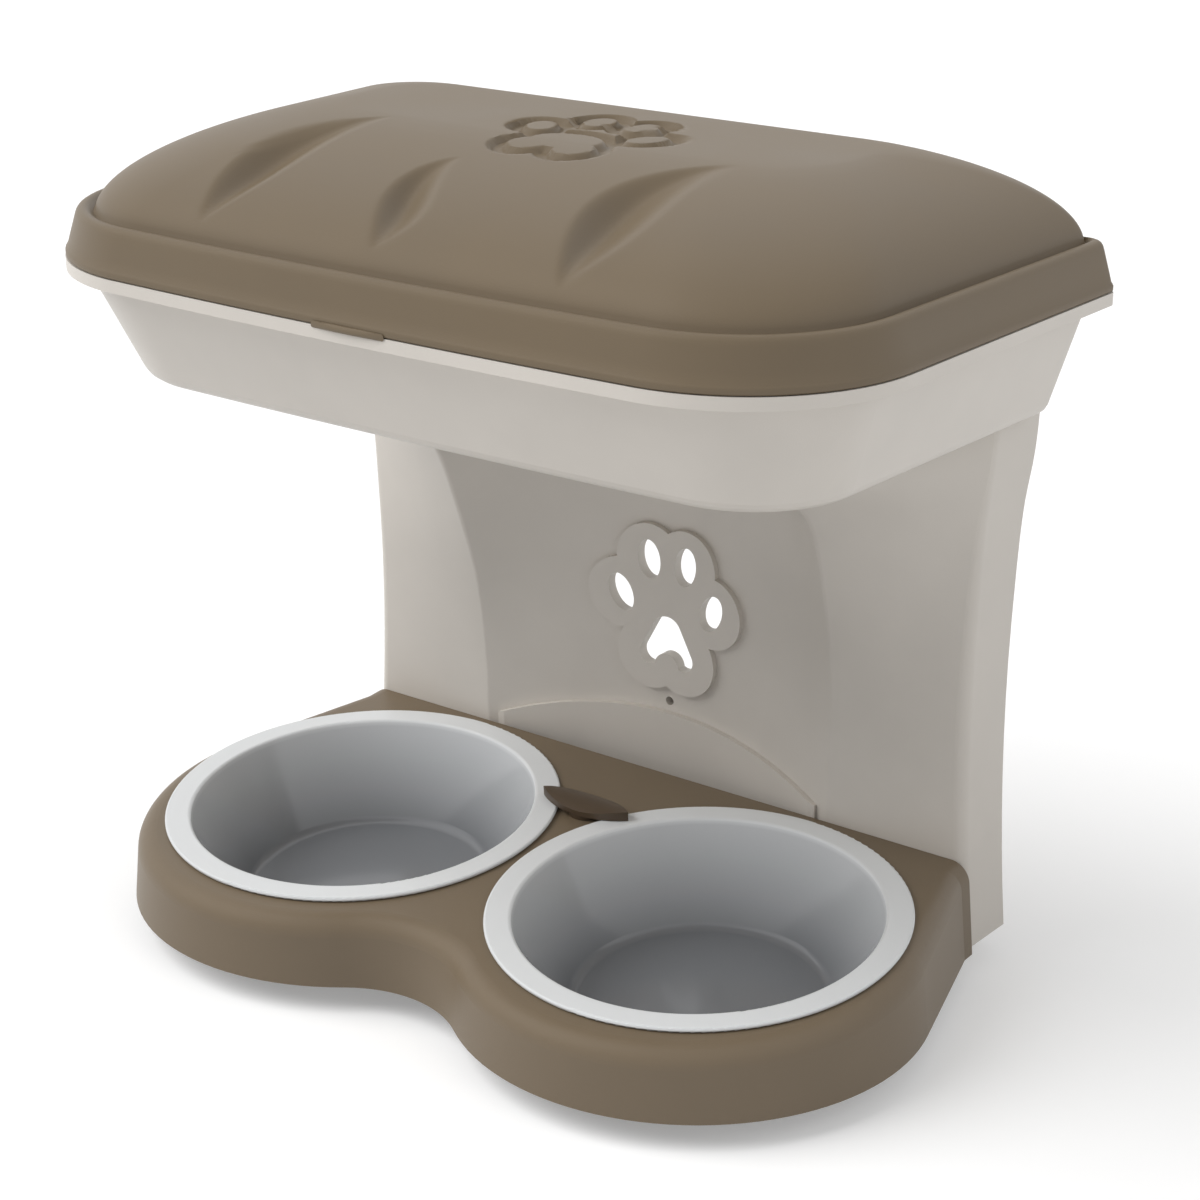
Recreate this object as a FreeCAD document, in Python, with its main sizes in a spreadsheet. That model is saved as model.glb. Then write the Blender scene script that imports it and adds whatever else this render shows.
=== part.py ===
import FreeCAD, Part
import math
import os
import re
import Sketcher

# A pet bowl stand: a lidded food tub carried on a moulded back stand, with a
# figure-eight tray in front that holds two round bowls under a turning lock.
# Millimetres, +Z up, front towards -Y, origin on the floor under the middle.

doc = FreeCAD.newDocument("PetBowlStand")
sheet = doc.addObject("Spreadsheet::Sheet", "Sizes")

# Driving sizes of the pieces
SIZES = [
    ("foot_height", 14.0, "clear height under the stand and the tray skirt"),
    ("running_gap", 0.3, "clearance between pieces that move or lift apart"),
    ("seat_gap", 0.1, "clearance between faces that rest on each other"),
    ("shaft_gap", 0.05, "radial clearance of a shaft in its hole"),
    ("stand_rear", 137.5, "rear plane behind the origin"),
    ("rear_trim", 2.0, "extra depth that is trimmed off flat at the rear plane"),
    ("stand_depth", 38.0, "depth of the columns at the floor"),
    ("stand_top", 295.0, "height of the tub seat"),
    ("stand_half_foot", 195.5, "half width of the columns at the floor"),
    ("stand_half_waist", 189.5, "half width at the waist"),
    ("stand_half_head", 198.0, "half width under the tub"),
    ("waist_height", 178.0, "height of the waist"),
    ("side_draft", 2.0, "how much wider each side is at the rear"),
    ("stand_wall", 2.8, "wall of the back stand"),
    ("niche_half_foot", 108.5, "half width of the niche at the floor"),
    ("niche_half_head", 120.5, "half width of the niche under the tub"),
    ("niche_sag", 18.5, "how far the niche wall lies behind the columns"),
    ("bracket_start", 102.0, "height where the niche edges start to lean out"),
    ("bracket_radius", 248.0, "radius of the leaning niche edges"),
    ("column_round", 6.0, "rounding of the outer column edges"),
    ("niche_round", 3.6, "rounding of the niche edges"),
    ("relief", 3.5, "how far the badge and the low arch stand proud of the niche wall"),
    ("arch_half", 104.0, "half width of the low arch"),
    ("arch_top", 90.6, "height of the low arch"),
    ("arch_radius", 271.0, "radius of the low arch"),
    ("rib_thickness", 2.2, "ribs inside the stand"),
    ("rib_inner", 75.0, "place of the inner ribs"),
    ("rib_outer", 155.0, "place of the outer ribs"),
    ("rib_set_back", 3.0, "how far the ribs end in front of the rear plane"),
    ("badge_margin", 14.0, "rim of the badge around the heels of the paw"),
    ("badge_pad_radius", 26.5, "round middle of the badge"),
    ("badge_pad_z", 134.0, "height of the middle of the badge"),
    ("badge_toe_radius", 20.0, "round lobes of the badge around the toes"),
    ("paw_side_toe_x", 29.0, "outer toes of the wall paw"),
    ("paw_side_toe_z", 155.0, "height of the outer toes"),
    ("paw_top_toe_x", 11.6, "inner toes of the wall paw"),
    ("paw_top_toe_z", 177.0, "height of the inner toes"),
    ("paw_toe_half", 7.0, "half width of a toe"),
    ("paw_toe_reach", 11.0, "half length of a toe"),
    ("paw_pad_z", 137.0, "height of the round top of the paw pad"),
    ("paw_pad_radius", 9.5, "radius of the round top of the paw pad"),
    ("paw_hollow_z", 125.0, "height of the hollow under the paw pad"),
    ("paw_heel_x", 10.8, "lower lobes of the paw pad"),
    ("paw_heel_z", 123.5, "height of the lower lobes"),
    ("paw_heel_radius", 6.3, "radius of the lower lobes"),
    ("wall_hole_z", 96.4, "height of the wall screw hole"),
    ("wall_hole_radius", 2.5, "radius of the wall screw hole"),
    ("wall_boss_radius", 6.5, "tube around the wall screw hole"),
    ("tub_wall", 2.6, "wall of the food tub"),
    ("tub_half", 200.5, "half width of the tub floor at its front corners"),
    ("tub_flare", 3.4, "degrees each side of the tub floor opens to the rear"),
    ("tub_front", 89.5, "front of the tub floor before the origin"),
    ("tub_corner", 53.5, "front corner radius of the tub floor"),
    ("tub_rear", 126.8, "rear of the tub floor"),
    ("tub_rear_corner", 6.8, "rear corner radius of the tub"),
    ("tub_foot_round", 5.5, "rounding where the floor meets the walls"),
    ("mouth_height", 352.0, "height of the tub wall under its flange"),
    ("mouth_half", 220.5, "half width of the tub mouth"),
    ("mouth_flare", 2.5, "degrees each side opens to the rear"),
    ("mouth_front", 115.5, "front of the tub mouth"),
    ("mouth_corner", 67.0, "front corner radius of the mouth"),
    ("mouth_rear", 127.0, "rear of the tub mouth"),
    ("mouth_bow", 2.0, "bow of the front wall"),
    ("flange_height", 6.0, "height of the flange around the mouth"),
    ("flange_half", 230.5, "half width of the flange"),
    ("flange_proud", 1.2, "how far the flange stands out under the lid"),
    ("flange_rear_corner", 3.5, "rear corner radius of the flange"),
    ("flange_flare", 2.46, "degrees each side opens to the rear"),
    ("flange_front", 128.6, "front of the flange"),
    ("flange_corner", 86.0, "front corner radius of the flange"),
    ("flange_bow", 3.0, "bow of the flange front"),
    ("flange_rear", 128.4, "rear of the flange"),
    ("lid_gap", 0.4, "gap between the flange and the lid"),
    ("lid_wall", 2.6, "wall of the lid"),
    ("lid_bead", 1.0, "how far the lower bead stands out"),
    ("bead_height", 3.0, "height of the lower bead"),
    ("lid_skirt", 20.5, "height of the lid skirt"),
    ("lid_draft", 5.0, "how far the skirt leans in"),
    ("ledge_rise", 2.3, "crown of the ledge above the skirt"),
    ("ledge_width", 9.0, "ledge between skirt and dome"),
    ("ledge_drop", 4.0, "drop from the ledge crown to the crease"),
    ("lid_rear", 129.0, "rear of the lid"),
    ("rear_lean", 0.1, "how far the rear leans in for each millimetre the sides do"),
    ("lid_rear_corner", 4.5, "rear corner radius of the lid"),
    ("dome_height", 44.0, "height of the dome above the crease"),
    ("dome_side", 79.0, "run of the dome at the sides"),
    ("dome_front", 133.0, "run of the dome at the front"),
    ("dome_back", 37.5, "run of the dome at the rear"),
    ("dome_power", 1.25, "fullness of the dome"),
    ("dome_corner", 42.0, "front corner radius at the top of the dome"),
    ("dome_rear_corner", 30.0, "rear corner radius at the top of the dome"),
    ("lid_relief", 1.2, "depth of the paw relief in the lid"),
    ("lid_paw_margin", 6.5, "rim of the relief around the paw"),
    ("lid_toe_side_x", 28.5, "outer toes of the lid paw"),
    ("lid_toe_side_y", 36.0, "outer toes of the lid paw"),
    ("lid_toe_top_x", 12.0, "inner toes of the lid paw"),
    ("lid_toe_top_y", 57.0, "inner toes of the lid paw"),
    ("lid_toe_half", 8.5, "half width of a lid toe"),
    ("lid_toe_reach", 13.0, "half length of a lid toe"),
    ("lid_pad_y", 6.0, "paw pad of the lid"),
    ("lid_pad_half", 21.0, "half width of the lid pad"),
    ("lid_pad_reach", 16.0, "half length of the lid pad"),
    ("lid_heel_x", 15.0, "lower lobes of the lid pad"),
    ("lid_heel_y", -8.0, "lower lobes of the lid pad"),
    ("lid_heel_radius", 12.0, "radius of the lower lobes"),
    ("flute_end_radius", 15.0, "round end of a claw flute"),
    ("flute_tail_radius", 3.0, "pointed tail of a claw flute"),
    ("flute_depth", 6.5, "depth of a claw flute at its round end"),
    ("flute_tail_depth", 0.6, "depth of a claw flute at its tail"),
    ("flute_left_tail_x", -100.0, "tail of the left flute"),
    ("flute_left_tail_y", 27.0, "tail of the left flute"),
    ("flute_left_tail_z", 418.5, "tail of the left flute"),
    ("flute_left_end_x", -121.0, "round end of the left flute"),
    ("flute_left_end_y", -91.0, "round end of the left flute"),
    ("flute_left_end_z", 398.0, "round end of the left flute"),
    ("flute_middle_tail_x", 8.0, "tail of the middle flute"),
    ("flute_middle_tail_y", -41.0, "tail of the middle flute"),
    ("flute_middle_tail_z", 413.5, "tail of the middle flute"),
    ("flute_middle_end_x", -12.6, "round end of the middle flute"),
    ("flute_middle_end_y", -98.0, "round end of the middle flute"),
    ("flute_middle_end_z", 395.0, "round end of the middle flute"),
    ("flute_right_tail_x", 104.0, "tail of the right flute"),
    ("flute_right_tail_y", 22.0, "tail of the right flute"),
    ("flute_right_tail_z", 418.5, "tail of the right flute"),
    ("flute_right_end_x", 91.0, "round end of the right flute"),
    ("flute_right_end_y", -99.0, "round end of the right flute"),
    ("flute_right_end_z", 394.5, "round end of the right flute"),
    ("tab_half", 21.0, "half width of the finger tab"),
    ("tab_reach", 1.6, "how far the finger tab stands out"),
    ("tab_drop", 1.8, "how far the finger tab hangs below the lid"),
    ("tab_height", 3.6, "height of the finger tab"),
    ("hinge_y", 133.6, "hinge axis behind the origin"),
    ("hinge_x", 150.0, "place of each hinge"),
    ("knuckle_radius", 4.0, "hinge knuckles"),
    ("knuckle_length", 12.0, "length of one knuckle"),
    ("pin_radius", 1.6, "hinge pin"),
    ("rim_height", 58.6, "height of the bowl rims over the floor"),
    ("deck_tilt", 3.65, "degrees the deck rises to the rear"),
    ("bowl_x", 107.5, "place of each bowl"),
    ("bowl_y", -12.6, "place of the bowls"),
    ("bowl_rim", 105.0, "rim radius of a bowl"),
    ("bowl_mouth", 92.0, "mouth radius of a bowl"),
    ("bowl_lip", 2.5, "thickness of the bowl rim"),
    ("lip_round", 1.2, "rounding of the bowl rim"),
    ("mouth_round", 2.0, "rounding of the bowl mouth"),
    ("bowl_depth", 50.0, "depth of a bowl"),
    ("bowl_floor", 64.5, "radius where the bowl wall meets its floor"),
    ("bowl_heel", 6.0, "rounding between bowl wall and floor"),
    ("bowl_wall", 2.4, "wall of a bowl"),
    ("well_throat", 70.5, "radius where the well turns down to its ring"),
    ("tray_wall", 2.6, "wall of the tray"),
    ("lobe_x", 106.0, "centre of each tray lobe"),
    ("lobe_y", -17.0, "centre of each tray lobe"),
    ("lobe_radius", 120.0, "radius of each tray lobe at the skirt edge"),
    ("saddle_radius", 59.0, "radius of the saddle between the lobes"),
    ("side_lean", 15.8, "degrees the tray sides close to the rear"),
    ("tray_corner_x", 200.0, "half width at the rear corners"),
    ("skirt_draft", 5.5, "degrees the skirt leans in"),
    ("shoulder", 11.0, "rounding between skirt and deck"),
    ("pad_height", 1.5, "rubber rings under the tray"),
    ("pad_width", 4.0, "width of the rubber rings"),
    ("lock_y", 41.0, "place of the bowl lock"),
    ("lock_lift", 0.4, "gap between the bowl rims and the lock"),
    ("lock_half", 27.5, "half length of the lock"),
    ("lock_width", 9.5, "half width of the lock"),
    ("lock_height", 5.0, "height of the lock plate at its ridge"),
    ("lock_edge", 2.6, "height of the lock plate at its edge"),
    ("lock_hub", 9.0, "hub radius of the lock"),
    ("spigot", 4.0, "spigot radius of the lock"),
    ("washer_radius", 8.0, "washer under the deck"),
    ("washer_thickness", 1.2, "washer under the deck"),
    ("screw_radius", 2.0, "shank of the screws"),
    ("screw_head", 4.0, "head radius of the screws"),
    ("head_height", 2.4, "head height of the screws"),
    ("screw_length", 14.0, "shank length of the screws"),
    ("lock_screw_length", 8.0, "shank length of the lock screw"),
    ("boss_radius", 5.0, "screw bosses"),
    ("tub_screw_rear_x", 165.0, "rear tub screws"),
    ("tub_screw_rear_y", 106.0, "rear tub screws"),
    ("tub_screw_front_x", 134.0, "front tub screws"),
    ("tub_screw_front_y", 48.0, "front tub screws"),
    ("tray_screw_x", 140.0, "place of the tray screws"),
    ("tray_screw_z", 36.0, "height of the tray screws"),
    ("foot_x", 148.0, "place of the rubber feet"),
    ("foot_y", 120.0, "place of the rubber feet"),
    ("foot_radius", 12.0, "radius of a rubber foot"),
    ("foot_spigot", 4.0, "spigot of a rubber foot"),
    ("spigot_height", 6.0, "height of the foot spigot"),
]
for row, (alias, value, note) in enumerate(SIZES, start=1):
    sheet.set("A%d" % row, note)
    sheet.set("B%d" % row, "%g" % value)
    sheet.setAlias("B%d" % row, alias)
doc.recompute()
NAMES = {alias for alias, value, note in SIZES}


def formula(text):
    """The text with each size name pointed at the sheet."""
    def pointed(match):
        word = match.group()
        return "Sizes." + word if word in NAMES else word

    return re.sub(r"[a-z_][a-z_0-9]*", pointed, text)


def number(text):
    """The present value of a formula."""
    result = sheet.evalExpression(formula(text))
    return float(getattr(result, "Value", result))


def bind(item, prop, text):
    """Ties a property to a formula, or sets it when the text is a plain zero."""
    if text != "0":
        item.setExpression(prop, formula(text))


def place(item, x="0", y="0", z="0", axis=None, angle=None):
    """Puts a document object at a place given by formulas, turned about an axis."""
    if axis is not None:
        turn = FreeCAD.Rotation(FreeCAD.Vector(*axis), number(angle))
        item.Placement = FreeCAD.Placement(FreeCAD.Vector(), turn)
        bind(item, "Placement.Rotation.Angle", angle)
    for direction, text in (("x", x), ("y", y), ("z", z)):
        bind(item, "Placement.Base." + direction, text)
    return item


def body_named(label):
    body = doc.addObject("PartDesign::Body", label)
    body.Label = label
    return body


def sketch_on(body, name, role="XY_Plane", lift="0"):
    """A sketch on one of the body's own planes, lifted along the plane's normal."""
    sketch = body.newObject("Sketcher::SketchObject", name)
    plane = [f for f in body.Origin.OriginFeatures if f.Role == role][0]
    sketch.AttachmentSupport = [(plane, "")]
    sketch.MapMode = "FlatFace"
    bind(sketch, "AttachmentOffset.Base.z", lift)
    return sketch


def driven(sketch, text, *what):
    """A constraint whose value follows a formula."""
    index = sketch.addConstraint(Sketcher.Constraint(*what, number(text)))
    sketch.setExpression("Constraints[%d]" % index, formula(text))


def pin(sketch, geometry, point, x, y):
    """Ties one point of the sketch to two formulas."""
    for kind, text, axis in (("DistanceX", x, -2), ("DistanceY", y, -1)):
        if text == "0":
            sketch.addConstraint(Sketcher.Constraint("PointOnObject", geometry, point, axis))
        else:
            driven(sketch, text, kind, -1, 1, geometry, point)


def circle(sketch, x, y, radius):
    """A circle with its centre and radius given by formulas."""
    centre = FreeCAD.Vector(number(x), number(y), 0)
    index = sketch.addGeometry(Part.Circle(centre, FreeCAD.Vector(0, 0, 1), number(radius)))
    pin(sketch, index, 3, x, y)
    driven(sketch, radius, "Radius", index)


def outline(sketch, corners):
    """A closed outline: each corner is (x, y) or (x, y, radius, side), the arc leading to the next corner."""
    points = [FreeCAD.Vector(number(c[0]), number(c[1]), 0) for c in corners]
    first = sketch.GeometryCount
    count = len(corners)
    for k, corner in enumerate(corners):
        start, end = points[k], points[(k + 1) % count]
        if len(corner) == 2:
            sketch.addGeometry(Part.LineSegment(start, end))
            continue
        radius, side = number(corner[2]), corner[3]
        chord = end - start
        middle = (start + end) * 0.5
        across = FreeCAD.Vector(-chord.y, chord.x, 0).normalize()
        rise = radius - math.sqrt(radius ** 2 - chord.Length ** 2 / 4)
        sketch.addGeometry(Part.Arc(start, middle + across * rise * side, end))
    for k, corner in enumerate(corners):
        reversed_arc = len(corner) > 2 and corner[3] > 0
        first_point, last_point = (2, 1) if reversed_arc else (1, 2)
        after = corners[(k + 1) % count]
        next_first = 2 if len(after) > 2 and after[3] > 0 else 1
        here, there = first + k, first + (k + 1) % count
        sketch.addConstraint(Sketcher.Constraint("Coincident", here, last_point, there, next_first))
        pin(sketch, here, first_point, corner[0], corner[1])
    for k, corner in enumerate(corners):
        if len(corner) > 2:
            driven(sketch, corner[2], "Radius", first + k)
    if sketch.solve() != 0:
        raise RuntimeError("sketch %s does not solve" % sketch.Name)


def pad(body, sketch, length, reverse=False, taper=None):
    feature = body.newObject("PartDesign::Pad", sketch.Name + "_pad")
    feature.Profile = sketch
    bind(feature, "Length", length)
    feature.Reversed = reverse
    if taper is not None:
        bind(feature, "TaperAngle", taper)
    doc.recompute()
    return feature


def loft(body, sections, ruled=False):
    feature = body.newObject("PartDesign::AdditiveLoft", sections[0].Name + "_loft")
    feature.Profile = sections[0]
    feature.Sections = sections[1:]
    feature.Ruled = ruled
    doc.recompute()
    return feature


def revolve(body, sketch):
    """Turns a sketch on the XZ plane about the upright axis."""
    feature = body.newObject("PartDesign::Revolution", sketch.Name + "_turn")
    feature.Profile = sketch
    feature.ReferenceAxis = (sketch, ["V_Axis"])
    feature.Angle = 360
    doc.recompute()
    return feature


def rounded(body, base, radius, chosen):
    """Rounds the edges of a feature that the given test picks."""
    names = ["Edge%d" % (k + 1) for k, edge in enumerate(base.Shape.Edges) if chosen(edge)]
    feature = body.newObject("PartDesign::Fillet", base.Name + "_round")
    feature.Base = (base, names)
    bind(feature, "Radius", radius)
    doc.recompute()
    return feature


def cylinder(name, radius, height, x="0", y="0", z="0", axis=None, angle="90"):
    item = doc.addObject("Part::Cylinder", name)
    bind(item, "Radius", radius)
    bind(item, "Height", height)
    return place(item, x, y, z, axis, angle)


def block(name, length, width, height, x="0", y="0", z="0"):
    item = doc.addObject("Part::Box", name)
    bind(item, "Length", length)
    bind(item, "Width", width)
    bind(item, "Height", height)
    return place(item, x, y, z)


def fuse(name, *items):
    result = doc.addObject("Part::MultiFuse", name)
    result.Shapes = list(items)
    return result


def common(name, *items):
    result = doc.addObject("Part::MultiCommon", name)
    result.Shapes = list(items)
    return result


def cut(name, base, *tools):
    result = doc.addObject("Part::Cut", name)
    result.Base = base
    result.Tool = tools[0] if len(tools) == 1 else fuse(name + "_tools", *tools)
    return result


def group(name, *items):
    """Several separate solids under one name."""
    result = doc.addObject("Part::Compound", name)
    result.Links = list(items)
    return result


def moved(name, item, x="0", y="0", z="0"):
    """A shifted copy of an object."""
    return place(group(name, item), x, y, z)


def oval(name, x, y, z, half, reach, lean, depth, upright):
    """An oval prism: on the floor plan, or upright and running to the rear."""
    ellipse = doc.addObject("Part::Ellipse", name + "_edge")
    bind(ellipse, "MajorRadius", reach)
    bind(ellipse, "MinorRadius", half)
    spin = FreeCAD.Rotation(FreeCAD.Vector(0, 0, 1), 90 + lean)
    tip = FreeCAD.Rotation(FreeCAD.Vector(1, 0, 0), 90 if upright else 0)
    ellipse.Placement = FreeCAD.Placement(FreeCAD.Vector(), tip * spin)
    for direction, text in (("x", x), ("y", y), ("z", z)):
        bind(ellipse, "Placement.Base." + direction, text)
    prism = doc.addObject("Part::Extrusion", name)
    prism.Base = ellipse
    prism.DirMode = "Custom"
    prism.Dir = FreeCAD.Vector(0, 1, 0) if upright else FreeCAD.Vector(0, 0, 1)
    bind(prism, "LengthFwd", depth)
    prism.Solid = True
    return prism


def paw(name, toes, pad_shape, heels, depth, upright, level, grow="0"):
    """The common paw sign as prisms: four toes and, where wanted, a pad with two heel lobes."""
    prisms = []

    def add(key, x, v, half, reach, lean):
        where = (x, level, v) if upright else (x, v, level)
        prisms.append(oval(f"{name}_{key}", *where, half, reach, lean, depth, upright))

    for k, (x, v, half, reach, lean) in enumerate(toes):
        for side, sign in (("left", "-"), ("right", "")):
            add(f"toe{k}_{side}", f"{sign}({x})", v, f"{half} + {grow}", f"{reach} + {grow}",
                lean if sign else -lean)
    if pad_shape is None:
        return fuse(name, *prisms)
    v, half, reach = pad_shape
    add("pad", "0", v, f"{reach} + {grow}", f"{half} + {grow}", 90)
    x, v, radius = heels
    for side, sign in (("left", "-"), ("right", "")):
        add(f"heel_{side}", f"{sign}({x})", v, f"{radius} + {grow}", f"{radius} + {grow}", 0)
    return fuse(name, *prisms)


# Back stand: an open-backed moulded shell with a hollow niche between two columns

def stand_half(z):
    """Half width of the stand at a height: a smooth curve through foot, waist and head."""
    foot, waist, head = "stand_half_foot", "stand_half_waist", "stand_half_head"
    low, mid, top = "foot_height", "waist_height", "stand_top"
    return (f"({foot} * ({z} - {mid}) * ({z} - {top}) / (({low} - {mid}) * ({low} - {top}))"
            f" + {waist} * ({z} - {low}) * ({z} - {top}) / (({mid} - {low}) * ({mid} - {top}))"
            f" + {head} * ({z} - {low}) * ({z} - {mid}) / (({top} - {low}) * ({top} - {mid})))")


def stand_section(body, name, z, inset="0", back="0"):
    """One level of the stand: rear, drafted sides, column faces and hollow niche, all set in by inset."""
    half = stand_half(z)
    front = "(stand_rear - stand_depth)"
    rise = f"max(0; {z} - bracket_start)"
    reach = f"(bracket_radius - sqrt(bracket_radius ^ 2 - ({rise}) ^ 2))"
    edge_x = (f"(niche_half_foot + (niche_half_head - niche_half_foot)"
              f" * ({z} - foot_height) / (stand_top - foot_height))")
    edge_y = f"({front} - {reach})"
    sag = f"(niche_sag + {reach})"
    niche = f"(({edge_x} ^ 2 + {sag} ^ 2) / (2 * {sag}))"
    # starting positions of the rounded corners, which the constraints then hold
    shrink = number(inset)
    outer = FreeCAD.Vector(number(half), number(front), 0)
    tip = FreeCAD.Vector(number(edge_x), number(edge_y), 0)
    corner = FreeCAD.Vector(number(f"{half} + side_draft"), number("stand_rear"), 0)
    big = number(niche)
    small = number("niche_round")
    edge = number("column_round")
    centre = FreeCAD.Vector(0, number(f"{edge_y} + {sag}") - big, 0)
    along = (outer - tip).normalize()
    inward = FreeCAD.Vector(-along.y, along.x, 0)
    start = tip + inward * small - centre
    b = start.dot(along)
    c = start.dot(start) - (big + small) ** 2
    niche_centre = tip + inward * small + along * (-b + math.sqrt(b * b - c))
    on_face = niche_centre - inward * (small - shrink)
    on_niche = centre + (niche_centre - centre) * ((big + shrink) / (big + small))
    up_side = (corner - outer).normalize()
    sideways = FreeCAD.Vector(up_side.y, -up_side.x, 0)
    turn = math.acos(along.dot(up_side))
    edge_centre = outer - along * edge * math.tan(turn / 2) + inward * edge
    face_end = edge_centre - inward * (edge - shrink)
    side_start = edge_centre + sideways * (edge - shrink)
    rear_y = number(f"stand_rear + {back}")
    rear = side_start + up_side * ((rear_y - side_start.y) / up_side.y)

    def mirror(v):
        return FreeCAD.Vector(-v.x, v.y, 0)

    def arc(middle, first, last):
        spread = [math.atan2(p.y - middle.y, p.x - middle.x) for p in (first, last)]
        whole = Part.Circle(middle, FreeCAD.Vector(0, 0, 1), (first - middle).Length)
        return Part.ArcOfCircle(whole, *spread)

    sketch = sketch_on(body, name, "XY_Plane", z)
    sketch.addGeometry([
        Part.LineSegment(mirror(rear), mirror(side_start)),
        arc(mirror(edge_centre), mirror(side_start), mirror(face_end)),
        Part.LineSegment(mirror(face_end), mirror(on_face)),
        arc(mirror(niche_centre), mirror(on_face), mirror(on_niche)),
        arc(centre, on_niche, mirror(on_niche)),
        arc(niche_centre, on_niche, on_face),
        Part.LineSegment(on_face, face_end),
        arc(edge_centre, face_end, side_start),
        Part.LineSegment(side_start, rear),
        Part.LineSegment(rear, mirror(rear)),
    ])
    smooth_joints = ((0, 2, 1, 1), (1, 2, 2, 1), (2, 2, 3, 1), (3, 2, 4, 2),
                     (4, 1, 5, 1), (5, 2, 6, 1), (6, 2, 7, 1), (7, 2, 8, 1))
    for one, one_end, two, two_end in smooth_joints:
        sketch.addConstraint(Sketcher.Constraint("Tangent", one, one_end, two, two_end))
    sketch.addConstraint(Sketcher.Constraint("Coincident", 8, 2, 9, 1))
    sketch.addConstraint(Sketcher.Constraint("Coincident", 9, 2, 0, 1))
    sketch.addConstraint(Sketcher.Constraint("Horizontal", 9))
    driven(sketch, f"stand_rear + {back}", "DistanceY", -1, 1, 8, 2)
    for index, text in ((1, f"column_round - {inset}"), (3, f"niche_round - {inset}"),
                        (4, f"{niche} + {inset}"), (5, f"niche_round - {inset}"),
                        (7, f"column_round - {inset}")):
        driven(sketch, text, "Radius", index)
    pin(sketch, 4, 3, "0", f"{edge_y} + {sag} - {niche}")
    for sign, face, side in (("-", 2, 0), ("", 6, 8)):
        for x, y, lines in ((half, front, (face, side)), (edge_x, edge_y, (face,)),
                            (f"({half} + side_draft)", "stand_rear", (side,))):
            x = f"{sign}{x}"
            point = sketch.addGeometry(Part.Point(FreeCAD.Vector(number(x), number(y), 0)), True)
            pin(sketch, point, 1, x, y)
            for line in lines:
                if inset == "0":
                    sketch.addConstraint(Sketcher.Constraint("PointOnObject", point, 1, line))
                else:
                    driven(sketch, inset, "Distance", point, 1, line)
    if sketch.solve() != 0:
        raise RuntimeError("section not solved: " + name)
    return sketch


def stand_form(name, bottom, top, inset="0", back="0"):
    body = body_named(name)
    steps = [bottom]
    for share in (0.25, 0.5, 0.8, 1.0):
        steps.append(f"({bottom} + (bracket_start - {bottom}) * {share})")
    for share in (0.1, 0.25, 0.5, 0.75):
        steps.append(f"(bracket_start + ({top} - bracket_start) * {share})")
    steps.append(top)
    loft(body, [stand_section(body, f"{name}_section{k}", z, inset, back) for k, z in enumerate(steps)])
    return body


stand_outer = stand_form("stand_outer", "foot_height", "stand_top", back="rear_trim")
stand_core = stand_form("stand_core", "(foot_height + stand_wall)", "(stand_top - stand_wall)", "stand_wall",
                        "2 * rear_trim")
behind_stand = block("behind_stand", "600", "100", "400", "-300", "stand_rear", "-50")

PAW_TOES = [("paw_side_toe_x", "paw_side_toe_z", "paw_toe_half", "paw_toe_reach", 24),
            ("paw_top_toe_x", "paw_top_toe_z", "paw_toe_half", "paw_toe_reach", 8)]
toe_holes = paw("toe_holes", PAW_TOES, None, None, "60", True, "stand_rear - 60")

# The pad is one outline: a round top, straight sides that touch the heel lobes, and a hollow below
pad_hole = body_named("pad_hole")
pad_sketch = sketch_on(pad_hole, "pad_sketch", "XZ_Plane", "-stand_rear")
pad_drop = "(paw_pad_z - paw_heel_z)"
pad_span = f"sqrt(paw_heel_x ^ 2 + {pad_drop} ^ 2)"
pad_lean = f"((paw_pad_radius - paw_heel_radius) / {pad_span})"
pad_turn = f"sqrt(1 - {pad_lean} ^ 2)"
normal_x = f"(({pad_lean} * paw_heel_x + {pad_turn} * {pad_drop}) / {pad_span})"
normal_z = f"(({pad_turn} * paw_heel_x - {pad_lean} * {pad_drop}) / {pad_span})"
top_x = f"(paw_pad_radius * {normal_x})"
top_z = f"(paw_pad_z + paw_pad_radius * {normal_z})"
flank_x = f"(paw_heel_x + paw_heel_radius * {normal_x})"
flank_z = f"(paw_heel_z + paw_heel_radius * {normal_z})"
sole_x = "(paw_heel_x - paw_heel_radius * cos(60))"
sole_z = "(paw_heel_z - paw_heel_radius * sin(60))"
hollow_rise = f"(paw_hollow_z - {sole_z})"
hollow_radius = f"(({sole_x} ^ 2 + {hollow_rise} ^ 2) / (2 * {hollow_rise}))"
outline(pad_sketch, [(f"-{sole_x}", sole_z, hollow_radius, 1), (sole_x, sole_z, "paw_heel_radius", -1),
                     (flank_x, flank_z), (top_x, top_z, "paw_pad_radius", -1), (f"-{top_x}", top_z),
                     (f"-{flank_x}", flank_z, "paw_heel_radius", -1)])
pad(pad_hole, pad_sketch, "60")
badge_lobes = [cylinder("badge_pad", "badge_pad_radius", "60", "0", "stand_rear", "badge_pad_z", (1, 0, 0))]
for side, sign in (("left", "-"), ("right", "")):
    for key, x, z, radius in (("heel", "paw_heel_x", "paw_heel_z", "paw_heel_radius + badge_margin"),
                              ("side", "paw_side_toe_x", "paw_side_toe_z", "badge_toe_radius"),
                              ("top", "paw_top_toe_x", "paw_top_toe_z", "badge_toe_radius")):
        lobe = cylinder(f"badge_{key}_{side}", radius, "60", sign + x, "stand_rear", z, (1, 0, 0))
        badge_lobes.append(lobe)
badge = fuse("badge_prism", *badge_lobes)

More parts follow.
